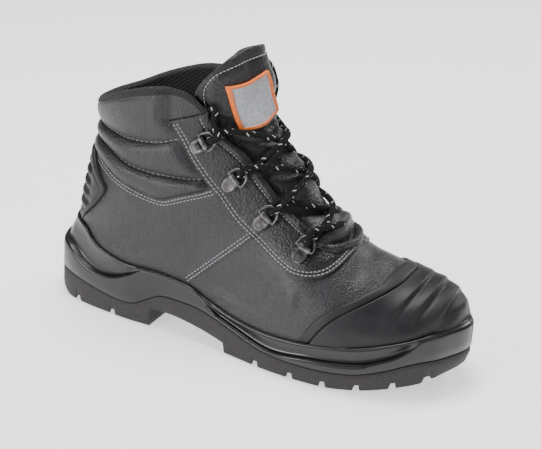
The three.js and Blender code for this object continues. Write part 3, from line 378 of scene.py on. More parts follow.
tread_rubber = Finish("tread_rubber", Roughness=0.7)
tread_rubber.shader.inputs["Specular IOR Level"].default_value = 0.35
speckle = tread_rubber.place.noise(900, 2.0)
mottle = tread_rubber.place.noise(60, 4.0)
tread_rubber.set("Base Color", (speckle.between(0.35, 0.75) * 0.6 + mottle * 0.4).colour(
    (0.013, 0.0122, 0.012, 1), (0.042, 0.0385, 0.0365, 1)))
tread_rubber.set("Roughness", mottle * 0.25 + 0.55)
tread_rubber.set("Normal", (speckle * 0.5 + mottle).bump(0.35, 0.0004))
piece("tread_sole", outsole_points, outsole_faces, tread_rubber, ["outsole"], weld=True)

# The upper: full-grain bovine leather, cut in vamp and quarters, stitched and pulled over a last.
# Two quarters lap the vamp at a double-stitched seam, and foam is sewn into three rolls round
# the ankle. The leather creases softly where the foot bends and puckers along the sewn channels.
TALL = 93.0
BALL_ROW = 7.0
last_rows = np.array([
    # under x, z, ridge x, z, tall, wide, bow, lateral, medial, seat, square, dome
    (0.458, 0.41, 0.458, 0.41, TALL, WIDE, 0.064, 0.0, 0.0, 0.4, 2.4, 2.1),
    (0.451, 0.29, 0.453, 0.54, TALL, WIDE, 0.062, 0.12, 0.13, 0.4, 2.6, 2.1),
    (0.431, 0.25, 0.436, 0.63, TALL, WIDE, 0.057, 0.2, 0.215, 0.38, 3.0, 2.15),
    (0.393, 0.225, 0.397, 0.705, TALL, WIDE, 0.048, 0.283, 0.3, 0.35, 3.3, 2.2),
    (0.347, 0.205, 0.347, 0.742, TALL, WIDE, 0.036, 0.355, 0.372, 0.32, 3.5, 2.2),
    (0.284, 0.2, 0.284, 0.797, TALL, WIDE, 0.02, 0.425, 0.42, 0.29, 3.6, 2.15),
    (0.206, 0.2, 0.218, 0.88, TALL, WIDE, 0.005, 0.463, 0.432, 0.27, 3.6, 2.0),
    (0.115, 0.205, 0.164, 1.0, TALL, WIDE, 0.0, 0.455, 0.398, 0.25, 3.6, 2.0),
    (0.016, 0.23, 0.13, 1.13, TALL, WIDE, 0.0, 0.415, 0.338, 0.24, 3.6, 2.0),
    (-0.092, 0.17, 0.092, 0.785, BACK, HEEL, 0.0, 0.475, 0.41, 0.24, 3.6, 2.05),
    (-0.2, 0.182, 0.05, 0.872, BACK, HEEL, 0.0, 0.45, 0.42, 0.26, 3.4, 2.1),
    (-0.308, 0.18, 0.014, 0.945, BACK, HEEL, 0.0, 0.452, 0.44, 0.3, 3.1, 2.15),
    (-0.4, 0.18, -0.01, 1.02, BACK, HEEL, 0.0, 0.452, 0.448, 0.35, 2.8, 2.2),
    (-0.462, 0.27, -0.024, 1.085, BACK, HEEL, 0.0, 0.448, 0.446, 0.38, 2.5, 2.2),
    (-0.478, 0.42, -0.034, 1.14, BACK, HEEL, 0.0, 0.442, 0.44, 0.42, 2.3, 2.2),
    (-0.468, 0.59, -0.041, 1.19, BACK, HEEL, 0.0, 0.436, 0.436, 0.44, 2.2, 2.25),
    (-0.452, 0.74, -0.047, 1.235, BACK, HEEL, 0.0, 0.43, 0.43, 0.46, 2.2, 2.3),
    (-0.444, 0.875, -0.053, 1.28, BACK, HEEL, 0.0, 0.428, 0.428, 0.48, 2.2, 2.3),
    (-0.443, 1.0, -0.06, 1.33, BACK, HEEL, 0.0, 0.426, 0.426, 0.5, 2.2, 2.3),
    (-0.445, 1.12, -0.07, 1.385, BACK, HEEL, 0.0, 0.42, 0.42, 0.5, 2.2, 2.3),
])
under_x, under_z = last_rows[:, 0] * SOLE, last_rows[:, 1] * last_rows[:, 4]
ridge_x, ridge_z = last_rows[:, 2] * SOLE, last_rows[:, 3] * last_rows[:, 4]
bow, half_lateral, half_medial = (last_rows[:, k] * last_rows[:, 5] for k in (6, 7, 8))
seat, square, dome = last_rows[:, 9], last_rows[:, 10], last_rows[:, 11]
TOP_ROW = len(last_rows) - 1


def along(values, s):
    """Smooth value at s through values that are one step apart."""
    i = np.clip(np.floor(s).astype(int), 0, len(values) - 2)
    t = s - i
    held = np.concatenate([[2 * values[0] - values[1]], values, [2 * values[-1] - values[-2]]])
    a, b, c, d = held[i], held[i + 1], held[i + 2], held[i + 3]
    return b + 0.5 * t * (c - a + t * (2 * a - 5 * b + 4 * c - d + t * (3 * (b - c) + d - a)))


def on_last(u, angle):
    """A point on the last: u counts its sections, angle runs from under the foot up the lateral side."""
    u, angle = np.broadcast_arrays(np.asarray(u, float), np.asarray(angle, float))
    turned = np.mod(angle, 2 * math.pi)
    lateral = turned <= math.pi
    turn = np.where(lateral, turned, 2 * math.pi - turned)
    width = np.where(lateral, along(half_lateral, u), along(half_medial, u))
    low = turn < math.pi / 2
    power = 2 / np.where(low, along(square, u), along(dome, u))
    c = np.abs(np.cos(turn)) ** power
    s = np.abs(np.sin(turn)) ** power
    middle = along(seat, u)
    share = np.where(low, middle * (1 - c), mix(middle, 1, c))
    return np.stack([mix(along(under_x, u), along(ridge_x, u), share),
                     along(bow, u) + np.where(lateral, -1, 1) * width * s,
                     mix(along(under_z, u), along(ridge_z, u), share)], -1)


def outward(u, angle):
    """The direction that leads straight out of the last."""
    step = 0.03
    across = on_last(u, angle + step) - on_last(u, angle - step)
    forward = on_last(np.maximum(u - step, 0), angle) - on_last(np.minimum(u + step, TOP_ROW), angle)
    normal = np.cross(forward, across)
    normal = np.where(np.asarray(u)[..., None] < step, [1.0, 0, 0], normal)
    return normal / np.maximum(np.linalg.norm(normal, axis=-1, keepdims=True), 1e-9)


def off_last(u, angle, distance):
    u, angle = np.broadcast_arrays(np.asarray(u, float), np.asarray(angle, float))
    return on_last(u, angle) + outward(u, angle) * np.asarray(distance)[..., None]


def search(inside, low, high, rounds=26):
    """Where a test that holds at low stops holding on the way to high."""
    low, high = np.array(low, float), np.array(high, float)
    for _ in range(rounds):
        middle = (low + high) / 2
        held = inside(middle)
        low, high = np.where(held, middle, low), np.where(held, high, middle)
    return (low + high) / 2


# The collar's four lines from below: the edge on the quarter, two channels and the brim.
seam_lines = [
    heights([(-0.48, 0.755), (-0.407, 0.742), (-0.35, 0.7), (-0.3, 0.668), (-0.25, 0.645), (-0.222, 0.646),
             (-0.18, 0.683), (-0.134, 0.723), (-0.09, 0.762), (0.02, 0.8)]),
    heights([(-0.48, 0.835), (-0.413, 0.821), (-0.374, 0.815), (-0.315, 0.781), (-0.269, 0.768),
             (-0.223, 0.768), (-0.167, 0.772), (-0.115, 0.79), (0.02, 0.83)]),
    heights([(-0.48, 0.9), (-0.416, 0.896), (-0.37, 0.901), (-0.321, 0.901), (-0.272, 0.907), (-0.226, 0.927),
             (-0.19, 0.954), (-0.13, 0.955), (0.02, 0.88)]),
    heights([(-0.445, 0.985), (-0.4, 1.035), (-0.354, 1.085), (-0.302, 1.13), (-0.256, 1.16), (-0.22, 1.175),
             (-0.19, 1.174), (-0.164, 1.152), (-0.139, 1.11), (-0.1, 1.05), (0.02, 0.93)]),
]
medial_brim = heights([(-0.445, 0.985), (-0.4, 1.015), (-0.354, 1.06), (-0.302, 1.105), (-0.256, 1.138),
                       (-0.2, 1.157), (-0.14, 1.163), (-0.1, 1.15), (-0.063, 1.11), (-0.03, 1.05),
                       (0.02, 0.96)])
# The rows where the last crosses the collar's lines, for angles from -180 to 180 degrees:
# positive angles are on the lateral side.
seam_angles = np.linspace(-math.pi, math.pi, 361)


def crossing(line, angles):
    return search(lambda u: on_last(u, angles)[..., 2] < curve(line, on_last(u, angles)[..., 0]),
                  np.full(angles.shape, BALL_ROW), np.full(angles.shape, float(TOP_ROW)))


seam_table = [crossing(line, seam_angles) for line in seam_lines]
seam_table[3] = np.where(seam_angles < 0, crossing(medial_brim, seam_angles), seam_table[3])


def seam_rows(angle):
    signed = np.mod(np.asarray(angle) + math.pi, 2 * math.pi) - math.pi
    signed = np.where(np.isclose(angle, math.pi), math.pi, signed)
    return [np.interp(signed, seam_angles, table) for table in seam_table]


facing_back_lateral = [(z * BACK, x * SOLE) for z, x in
                       ((0.464, 0.111), (0.497, 0.069), (0.563, 0.007), (0.623, -0.043), (0.715, -0.089),
                        (0.788, -0.128), (0.868, -0.161), (0.967, -0.19), (1.04, -0.216))]
facing_back_medial = [(z * BACK, x * SOLE) for z, x in
                      ((0.464, 0.111), (0.497, 0.069), (0.563, 0.007), (0.623, -0.04), (0.715, -0.077),
                       (0.788, -0.105), (0.868, -0.127), (0.967, -0.145), (1.04, -0.157))]


def facing_back(p):
    return np.where(p[..., 1] < 0, curve(facing_back_lateral, p[..., 2]),
                    curve(facing_back_medial, p[..., 2]))


def behind_facing(p):
    return smooth((facing_back(p) - p[..., 0] + 1) / 12) ** 0.6


# Wavering from a few sines, the same on every run.
def waver(p, size, seed=0.0):
    q = p / size
    return (np.sin(q[..., 0] * 1.0 + 1.7 * np.sin(q[..., 2] * 0.9 + seed) + seed)
            + np.sin(q[..., 2] * 1.3 + 1.3 * np.sin(q[..., 1] * 1.1 - seed) + 2 * seed)
            + np.sin(q[..., 1] * 0.8 + 1.5 * np.sin(q[..., 0] * 0.7 + seed) - seed)) / 3


def near_line(px, pz, line):
    """Distance from points of a flat view to a line through a few points, and the share along it."""
    best = np.full(px.shape, 1e9)
    share = np.zeros(px.shape)
    line = np.asarray(line, float)
    for k in range(len(line) - 1):
        a, b = line[k], line[k + 1]
        run = b - a
        t = np.clip(((px - a[0]) * run[0] + (pz - a[1]) * run[1]) / (run @ run), 0, 1)
        d = np.hypot(px - a[0] - t * run[0], pz - a[1] - t * run[1])
        share = np.where(d < best, (k + t) / (len(line) - 1), share)
        best = np.minimum(best, d)
    return best, share


# Creases, listed one by one. Side view: side (-1 lateral, 1 medial), depth, width, points (x, z) in mm.
side_creases = [
    (-1, -0.9, 4.5, [(-97, 112), (-84, 100), (-72, 92)]), (-1, 0.7, 6, [(-104, 100), (-90, 88), (-76, 80)]),
    (-1, -0.8, 6, [(-62, 88), (-48, 76), (-30, 68)]), (-1, 0.6, 7, [(-70, 76), (-52, 66), (-32, 60)]),
    (-1, -0.7, 5, [(20, 66), (26, 54), (30, 42)]), (-1, -0.9, 4.0, [(43, 62), (46, 52), (47, 43)]),
    (-1, 0.7, 4.5, [(36, 62), (38, 52), (38, 42)]), (-1, -0.7, 3.6, [(54, 60), (58, 52), (60, 44)]),
    (1, -0.9, 5, [(40, 66), (44, 54), (44, 44)]), (1, 0.8, 5, [(32, 64), (34, 54), (34, 44)]),
    (1, -0.8, 5, [(-90, 106), (-78, 96), (-64, 90)]), (1, -0.8, 6, [(-40, 84), (-26, 72), (-8, 64)]),
]
# From above: depth, width, points (x, y) across the vamp just ahead of the facing.
top_creases = [
    (-0.9, 4, [(72, -34), (75, -16), (74, 4), (70, 24)]),
    (0.8, 4.5, [(79, -34), (82, -14), (81, 6), (77, 26)]),
    (-0.6, 5, [(86, -24), (89, -4), (86, 18)]),
]


def creases(p):
    total = 0.35 * waver(p, 14.0, 1.0) + 0.16 * waver(p, 5.0, 2.0)
    for side, depth, width, line in side_creases:
        d, share = near_line(p[..., 0], p[..., 2], line)
        fade = np.sin(math.pi * np.clip(share, 0.04, 0.96)) ** 0.7
        total = total + np.where(np.sign(p[..., 1]) == side, depth * fade * np.exp(-(d / width) ** 2), 0)
    for depth, width, line in top_creases:
        d, share = near_line(p[..., 0], p[..., 1], line)
        fade = np.sin(math.pi * np.clip(share, 0.04, 0.96)) ** 0.7 * (p[..., 2] > 55)
        total = total + depth * fade * np.exp(-(d / width) ** 2)
    return total


ROLL_HEIGHT, PUCKER = 4.6, 0.6
quarter_seam = [(-43, 42), (-32, 53), (-21, 64), (-8, 77), (6, 91)]


def upper_height(u, angle):
    """How far the outside of the leather stands off the last."""
    p = on_last(u, angle)
    lines = seam_rows(angle)
    back = behind_facing(p)
    step = np.linalg.norm(on_last(u + 0.05, angle) - on_last(u - 0.05, angle), axis=-1) / 0.1
    height = 0.6 * creases(p) * smooth((u - 3.5) / 1.5)
    around = np.where(np.mod(angle, 2 * math.pi) <= math.pi, p[..., 0], p[..., 0] + 1.1)
    # Each roll is fuller below its middle, and its ends are pinched by the sewn channels.
    for k, peak in ((0, 0.95), (1, 0.9), (2, 1.1)):
        t = (u - lines[k]) / (lines[k + 1] - lines[k])
        here = (t >= 0) & (t <= (1 if k < 2 else 1.6))
        t = np.clip(t, 0, 1)
        swell = np.sin(math.pi * (t * 0.8 if k == 2 else t)) ** 0.62
        pucker = np.exp(-t / 0.16) + (0 if k == 2 else 1) * np.exp(-(1 - t) / 0.16)
        ripple = np.sin(around / 1.05 + 2.2 * waver(p, 9.0, 3.0) + 3 * k) * np.sin(around / 0.71 + k)
        height = height + np.where(here, back * swell * (ROLL_HEIGHT * peak + PUCKER * pucker * ripple), 0)
    # The collar is drawn in at the back.
    height = height - 2.6 * smooth((-96 - p[..., 0]) / 34) * smooth((u - lines[0] + 0.6) / 1.0)
    # A binding is turned over the collar's edge.
    below_edge = (lines[3] - u) * step
    height = height - back * 0.8 * np.exp(-((below_edge - 3.4) / 0.6) ** 2)
    # The collar is laid on the quarter: a small step down to it and a channel along it.
    foot = (u - lines[0]) * step
    height = height - back * 0.7 * np.exp(-(foot / 0.9) ** 2)
    # The quarter laps the vamp.
    d, _ = near_line(p[..., 0], p[..., 2], quarter_seam)
    ahead = (p[..., 0] + 43) * 49 - (p[..., 2] - 42) * 49 > 0
    lap = np.where(ahead, -0.55 * np.exp(-(d / 1.1) ** 2), 0.55 * np.exp(-(d / 7) ** 2))
    reach = (p[..., 2] > 30) & (p[..., 2] < 92) & (u > 6) & (u < 12)
    height = height + np.where(reach, lap, 0)
    return height


# The throat's opening: how far up the instep's slope, and its half widths on both sides.
throat_rows = [(s * TALL, lateral * WIDE, medial * WIDE) for s, lateral, medial in (
    (-0.09, -0.03, -0.03), (-0.075, 0.05, 0.05), (-0.05, 0.13, 0.13), (0.0, 0.185, 0.185),
    (0.08, 0.205, 0.205), (0.3, 0.208, 0.208), (0.6, 0.2, 0.205), (0.8, 0.2, 0.205), (0.95, 0.22, 0.208),
    (1.1, 0.25, 0.215), (1.25, 0.278, 0.215), (1.32, 0.27, 0.2), (1.7, 0.1, 0.1))]
throat_lateral = [(s, lateral) for s, lateral, _ in throat_rows]
throat_medial = [(s, medial) for s, _, medial in throat_rows]
throat_foot = np.array([0.164 * SOLE, 0, 0.97 * TALL])
slope = np.array([-0.69, 0, 0.724])
slope /= np.linalg.norm(slope)


def in_throat(p, grow=0.0):
    s = (p - throat_foot) @ slope
    half = np.where(p[..., 1] < 0, curve(throat_lateral, s), curve(throat_medial, s))
    return np.abs(p[..., 1]) < half + grow


TOE_ROWS, WAIST_ROWS, COLLAR_ROWS = 46, 140, 26


def upper_row_values(angle, toe_rows=TOE_ROWS, waist_rows=WAIST_ROWS, collar_rows=COLLAR_ROWS):
    """The rows of the upper's grid at some angles: to the ball, to the collar and over its rolls."""
    lines = seam_rows(angle)
    rows = [np.full(angle.shape, BALL_ROW * (0.12 + 0.88 * r / toe_rows)) for r in range(toe_rows)]
    rows += [mix(BALL_ROW, lines[0], r / waist_rows) for r in range(waist_rows)]
    for k in range(3):
        rows += [mix(lines[k], lines[k + 1], r / collar_rows) for r in range(collar_rows)]
    return rows + [lines[3]]


def upper_grid(columns, *counts):
    """Rows and signed angles of a grid that ends at the throat: one half per side."""
    row_count = len(upper_row_values(np.zeros(1), *counts))
    u_grid = np.zeros((row_count, 2 * columns + 1))
    a_grid = np.zeros((row_count, 2 * columns + 1))
    for sign in (1, -1):
        tried = np.linspace(math.pi * 0.5, math.pi, 300) * sign
        table = np.array(upper_row_values(tried, *counts))
        p = on_last(table, tried[None])
        cut = in_throat(p)
        firsts = np.where(cut.any(axis=1), np.argmax(cut, axis=1), len(tried))
        edges = []
        for r, k in enumerate(firsts):
            if k >= len(tried):
                edges.append(math.pi)
                continue
            low, high = abs(tried[max(k - 1, 0)]), abs(tried[k])
            for _ in range(12):
                middle = (low + high) / 2
                u = np.interp(middle, np.abs(tried), table[r])
                if in_throat(on_last(u, middle * sign)):
                    high = middle
                else:
                    low = middle
            edges.append(low)
        for c in range(columns + 1):
            share = c / columns
            share = share + 0.12 * math.sin(2 * math.pi * share) / (2 * math.pi)
            angles = np.array(edges) * share * sign
            rows = np.array(upper_row_values(angles, *counts))
            u_grid[:, columns + sign * c] = rows[np.arange(row_count), np.arange(row_count)]
            a_grid[:, columns + sign * c] = angles
    return u_grid, a_grid


# The leather ends against the rim of the cup sole, whose top edge runs like this.
rim_top = heights([(-0.5, 0.4), (-0.46, 0.395), (-0.43, 0.385), (-0.397, 0.34), (-0.348, 0.305),
                   (-0.305, 0.292), (-0.216, 0.29), (-0.134, 0.27), (-0.089, 0.235), (-0.02, 0.2),
                   (0.046, 0.186), (0.108, 0.185), (0.164, 0.192), (0.233, 0.211), (0.279, 0.222),
                   (0.374, 0.27), (0.43, 0.305), (0.466, 0.316), (0.5, 0.308)])
TOE_LEAN, HEEL_LEAN = 3.4, 9
rim_round = np.linspace(0, 2 * math.pi, 360, endpoint=False)


# How far the toe and the heel of the cup lean in over their rims.
def toe_lean(x):
    return TOE_LEAN * smooth((x - 0.36 * SOLE) / (0.13 * SOLE))


def heel_lean(x):
    return HEEL_LEAN * smooth((-x - 0.36 * SOLE) / (0.15 * SOLE))


rim_inner = sole_ring(rim_round, lambda x: 2.4 + toe_lean(x) + heel_lean(x), lambda x: curve(rim_top, x))
rim_run = np.roll(rim_inner, -1, 0) - np.roll(rim_inner, 1, 0)
rim_in = np.stack([-rim_run[:, 1], rim_run[:, 0]], -1)
rim_in /= np.linalg.norm(rim_in, axis=1, keepdims=True)


def to_rim(points, clearance=0.3, reach=17.0):
    """Low points drawn out sideways until they lie against the rim of the cup sole."""
    flat = np.array(points, float).reshape(-1, 3)
    clearance = np.broadcast_to(clearance, np.shape(points)[:-1]).ravel()
    low = np.flatnonzero(flat[:, 2] < curve(rim_top, flat[:, 0]) + reach)
    p = flat[low]
    nearest = np.argmin((p[:, None, 0] - rim_inner[None, :, 0]) ** 2
                        + (p[:, None, 1] - rim_inner[None, :, 1]) ** 2, axis=1)
    gap = ((p[:, :2] - rim_inner[nearest, :2]) * rim_in[nearest]).sum(axis=1) - clearance[low]
    share = smooth((curve(rim_top, p[:, 0]) + reach - p[:, 2]) / (reach - 1))
    flat[low, :2] -= rim_in[nearest] * (np.clip(gap, 0, 8) * share)[:, None]
    return flat.reshape(np.shape(points))


def under_pieces(p):
    """1 under the toe cap and the heel guard, 0 elsewhere."""
    cap = smooth((p[..., 0] - curve(cap_edge, p[..., 2]) - 1) / 4)
    guard = smooth((curve(guard_side, p[..., 2]) - p[..., 0] - 1) / 4)
    return np.maximum(cap, guard)


cap_edge = [(z * BACK, x * SOLE) for x, z in (
    (0.157, 0.2), (0.17, 0.258), (0.2, 0.338), (0.23, 0.384), (0.256, 0.411), (0.279, 0.444),
    (0.295, 0.462), (0.3, 0.6))]
guard_side = [(z * BACK, x * SOLE) for x, z in (
    (-0.46, 0.3), (-0.44, 0.42), (-0.393, 0.536), (-0.372, 0.6), (-0.367, 0.623), (-0.384, 0.649),
    (-0.433, 0.755), (-0.45, 0.8))]
SIDE_COLUMNS = 158
u_grid, a_grid = upper_grid(SIDE_COLUMNS)
at_throat = np.abs(a_grid[:, 0]) < math.pi - 1e-4
outside = off_last(u_grid, a_grid, upper_height(u_grid, a_grid))
outside = to_rim(outside, 0.3 + 3.2 * under_pieces(outside))
LEATHER = 2.4
BRIM_DEPTH = 6.0
# The brim: the leather turns over the padding, and the lining's binding covers its edge.
brim_u, brim_a = u_grid[-1], a_grid[-1]
brim_out = upper_height(brim_u, brim_a)
brim_in = -mix(LEATHER, BRIM_DEPTH, behind_facing(on_last(brim_u, brim_a)))


def brim_row(u, a, out, inner, turn, grow=0.0):
    """A row of the rounded brim, from its outer face at 0 over its crest to its lining at pi."""
    up = on_last(u + 0.02, a) - on_last(u - 0.02, a)
    up /= np.linalg.norm(up, axis=-1, keepdims=True)
    reach = mix((out + inner) / 2, out, math.cos(turn))
    lift = math.sin(turn) ** 0.9 * (np.minimum(1.9, (out - inner) / 2.2) + grow)
    return off_last(u, a, reach) + up * lift[:, None]


brim = [brim_row(brim_u, brim_a, brim_out, brim_in, t) for t in np.linspace(0, math.pi, 9)[1:]]
brim.append(off_last(brim_u - 0.3, brim_a, brim_in))
outside = np.concatenate([outside, brim])
rows_out, columns_out = outside.shape[:2]
edge_rows = len(brim)
# The cut edge of the leather along the throat.
inner_left = off_last(u_grid[:, 0], a_grid[:, 0], np.full(len(u_grid), -LEATHER))
inner_right = off_last(u_grid[:, -1], a_grid[:, -1], np.full(len(u_grid), -LEATHER))
inner_left = np.concatenate([inner_left, np.repeat(inner_left[-1:], edge_rows, 0)])
inner_right = np.concatenate([inner_right, np.repeat(inner_right[-1:], edge_rows, 0)])
outside = np.concatenate([inner_left[:, None], outside, inner_right[:, None]], 1)
faces = grid_faces(rows_out, columns_out + 2)
face_row, face_column = np.divmod(np.arange(len(faces)), columns_out + 1)
closed_ends = ~np.concatenate([at_throat, np.ones(edge_rows, bool)])[face_row]
at_end = (face_column == 0) | (face_column == columns_out)
flat_points = outside.reshape(-1, 3)
buried = (flat_points[faces][:, :, 2] < curve(rim_top, flat_points[faces][:, :, 0]) - 7).all(axis=1)
faces = faces[~(at_end & closed_ends) & ~buried]


def leather_finish(name, pebble, gloss, dark=1.0):
    """Black grained leather: cells for the pebbling, pores, drawn-out fine wrinkles, a thin coat."""
    made = Finish(name, Roughness=gloss)
    made.shader.inputs["Coat Weight"].default_value = 0.1
    made.shader.inputs["Coat Roughness"].default_value = 0.3
    made.shader.inputs["Specular IOR Level"].default_value = 0.4
    grain = made.place.cells(pebble)
    pores = made.place.noise(pebble * 1.9, 2.0)
    patches = made.place.noise(28, 3.0)
    wear = made.place.noise(140, 3.0)
    drawn = made.place.node("ShaderNodeVectorMath", {"operation": "MULTIPLY"},
                            {0: made.place, 1: (1, 1, 0.16)}, "Vector")
    wrinkles = drawn.noise(520, 2.0)
    # dark scales the colour down; the facing's 0.6 is painted shade on the same leather.
    made.set("Base Color", (patches * 0.4 + pores * 0.2 + wrinkles * 0.4).between(0.32, 0.7).colour(
        (0.0075 * dark, 0.0076 * dark, 0.0089 * dark, 1), (0.02 * dark, 0.0203 * dark, 0.0235 * dark, 1)))
    made.set("Roughness", patches * 0.16 + grain * 0.14 + (gloss - 0.14))
    made.set("Normal", (grain * 0.8 + pores * 0.5).bump(
        0.85, 0.0005, (wrinkles * 0.7 + wear * 0.5).bump(0.6, 0.0009)))
    return made


upper_leather = leather_finish("grained_leather", 820, 0.42)
piece("leather_upper", flat_points, faces, upper_leather, ["upper"], weld=True)

# The lining: black spacer mesh over foam round the ankle, glued down to the insole.
# It is woven in slanting ribs, which catch a little light on the inside of the far brim, and is
# turned over the brim as a binding that is sewn down outside.
PADDING = 7.5
lining_u, lining_a = upper_grid(90, 14, 44, 9)
pad_lines = seam_rows(lining_a)
lining_back = behind_facing(on_last(lining_u, lining_a))
padding = smooth((lining_u - pad_lines[0]) / (pad_lines[1] - pad_lines[0])) * lining_back
brim_share = smooth((lining_u - pad_lines[2]) / (pad_lines[3] - pad_lines[2]))
lining_depth = mix(LEATHER, mix(PADDING, BRIM_DEPTH, brim_share), padding) + 0.02
lining_points = off_last(lining_u, lining_a, -lining_depth)
mesh_u, mesh_a = lining_u[-1], lining_a[-1]
mesh_out = upper_height(mesh_u, mesh_a)
mesh_in = -mix(LEATHER, BRIM_DEPTH, lining_back[-1]) - 0.1
mesh_brim = [brim_row(mesh_u, mesh_a, mesh_out + 0.3 * smooth((math.pi - t) / math.pi), mesh_in, t, 0.2)
             for t in np.linspace(math.pi, 0, 12)]
mesh_step = np.linalg.norm(on_last(mesh_u, mesh_a) - on_last(mesh_u - 0.1, mesh_a), axis=-1) / 0.1
for down, proud in ((1.2, 0.35), (2.4, 0.35), (3.0, 0.2), (3.3, -0.4)):
    turned_u = mesh_u - down / mesh_step
    mesh_brim.append(off_last(turned_u, mesh_a, upper_height(turned_u, mesh_a) + proud))
lining_points = np.concatenate([lining_points[:-1], mesh_brim])
lining_mesh = Finish("lining_mesh", Roughness=0.8)
slant = lining_mesh.place.node("ShaderNodeVectorMath", {"operation": "DOT_PRODUCT"},
                               {0: lining_mesh.place, 1: (1.0, 0.3, 0.75)}, "Value")
cross = lining_mesh.place.node("ShaderNodeVectorMath", {"operation": "DOT_PRODUCT"},
                               {0: lining_mesh.place, 1: (0.8, 0.3, -1.0)}, "Value")
rib_pitch, hole_pitch = 2600, 2100
ribs = (slant * rib_pitch).sine()
holes = (cross * hole_pitch).sine()
weave = (ribs * 0.6 + holes * 0.4).between(-0.7, 0.8)
lining_mesh.set("Base Color", weave.colour((0.002, 0.002, 0.0025, 1), (0.014, 0.014, 0.0155, 1)))
lining_mesh.set("Normal", weave.bump(0.8, 0.0008))
piece("collar_lining", lining_points.reshape(-1, 3), grid_faces(*lining_points.shape[:2], flip=True),
      lining_mesh, weld=True)

# The cup sole: polyurethane foam poured round the foot of the lasted upper, so it is one body
# with a rim that climbs the heel and grips the leather, a panel set back above a waving lip at
# the heel and another along the forefoot, a bumper at the toe and a fine parting line at its tip.
lip_line = heights([(-0.5, 0.285), (-0.469, 0.265), (-0.416, 0.207), (-0.37, 0.192), (-0.331, 0.205),
                    (-0.292, 0.243), (-0.262, 0.275), (-0.235, 0.293), (-0.16, 0.275), (-0.1, 0.232),
                    (-0.049, 0.17), (0.003, 0.128), (0.052, 0.113), (0.108, 0.108), (0.17, 0.124),
                    (0.289, 0.148), (0.345, 0.184), (0.38, 0.222), (0.41, 0.275), (0.44, 0.325), (0.5, 0.36)])


def tread_line(x):
    return curve(tread_top, x)


def rim_line(x):
    return curve(rim_top, x)


def lip(x):
    return np.clip(curve(lip_line, x), tread_line(x) + 3.6, rim_line(x) - 2.4)


def set_back(x):
    """How deep the panel above the lip is cut, from 0 where the lip runs into the rim to 1."""
    return smooth((rim_line(x) - curve(lip_line, x) - 1.5) / 6)


cup_turns = np.unique(np.concatenate([np.linspace(0, math.pi, 200),
                                      math.pi - np.array([0.004, 0.008, 0.013, 0.02])]))
around_cup = np.concatenate([cup_turns, 2 * math.pi - cup_turns[-2:0:-1]])


def cup_ring(inset, groove, lean, height):
    """A ring of the cup: its inset, what the panel above the lip adds, and its share of the lean."""
    return sole_ring(around_cup, lambda x: inset + groove * set_back(x) + lean * (toe_lean(x) + heel_lean(x)),
                     height)


# From the tread up its side to the lip, round the lip, up the panel above it and over the rim.
cup_rings = [cup_ring(inset, 0, 0, lambda x, r=rise: tread_line(x) + r)
             for inset, rise in ((7, 0.3), (1.2, 0.3), (0.5, 0.5), (0.1, 1.1))]
for groove, lean, share in ((0, 0.02, 0.4), (-0.35, 0.05, 0.68)):
    cup_rings.append(cup_ring(0, groove, lean, lambda x, s=share: mix(tread_line(x) + 1.1, lip(x), s)))
for inset, groove, lean, drop in ((0.0, -0.35, 0.08, 2.3), (0.0, -0.1, 0.09, 1.4), (0.05, 0.35, 0.1, 0.65),
                                  (0.1, 1.1, 0.12, 0.2), (0.15, 2.0, 0.13, 0.0), (0.2, 2.8, 0.14, -0.1)):
    cup_rings.append(cup_ring(inset, groove, lean, lambda x, d=drop: lip(x) - d))
for share, inset, groove, lean in ((0.3, 0.3, 2.35, 0.3), (0.45, 0.35, 1.9, 0.45), (0.6, 0.4, 1.4, 0.62),
                                   (0.74, 0.4, 0.9, 0.8), (0.86, 0.35, 0.5, 0.92)):
    cup_rings.append(cup_ring(inset, groove, lean, lambda x, s=share: mix(lip(x) + 0.3, rim_line(x), s)))
for inset, drop in ((0.3, 1.5), (0.45, 0.85), (0.8, 0.32), (1.35, 0.04), (1.9, 0.02), (2.4, 0.35)):
    cup_rings.append(cup_ring(inset, 0, 1, lambda x, d=drop: rim_line(x) - d))
# The rim runs in to the leather and grips it.
low_leather = outside[TOE_ROWS // 4:TOE_ROWS + WAIST_ROWS, 1:-1].reshape(-1, 3)
last_ring = cup_rings[-1]
grips = []
for below_rim in (0.6, 2.2):
    near_rim = low_leather[np.abs(low_leather[:, 2] - rim_line(low_leather[:, 0]) + below_rim) < 1.0]
    apart = np.hypot(last_ring[:, None, 0] - near_rim[None, :, 0],
                     last_ring[:, None, 1] - near_rim[None, :, 1])
    grip = near_rim[np.argsort(apart, axis=1)[:, :4]].mean(axis=1)
    for _ in range(3):
        grip = (np.roll(grip, 1, 0) + 2 * grip + np.roll(grip, -1, 0)) / 4
    inwards = grip - last_ring
    inwards[:, 2] = 0
    inwards /= np.maximum(np.linalg.norm(inwards, axis=1, keepdims=True), 0.5)
    grip = grip + inwards * 0.9
    grip[:, 2] = rim_line(grip[:, 0]) - below_rim
    grips.append(grip)
cup_points = np.array(cup_rings + grips)
parting = np.exp(-((around_cup - math.pi) / 0.005) ** 2)
cup_points[3:-2, :, 0] -= 0.7 * parting[None]
cup_rubber = Finish("cup_rubber", Roughness=0.4)
cup_rubber.shader.inputs["Coat Roughness"].default_value = 0.19
cup_rubber.shader.inputs["Coat Weight"].default_value = 0.42
cup_rubber.shader.inputs["Specular IOR Level"].default_value = 0.25
haze = cup_rubber.place.noise(35, 4.0)
pore = cup_rubber.place.noise(1400, 2.0)
cup_rubber.set("Base Color", haze.between(0.3, 0.75).colour(
    (0.0055, 0.0053, 0.0056, 1), (0.0105, 0.0102, 0.0105, 1)))
cup_rubber.set("Roughness", haze * 0.22 + pore * 0.08 + 0.26)
cup_rubber.set("Normal", pore.bump(0.15, 0.0002))
piece("cup_sole", cup_points.reshape(-1, 3), grid_faces(len(cup_points), len(around_cup), closed=True),
      cup_rubber, ["midsole"])

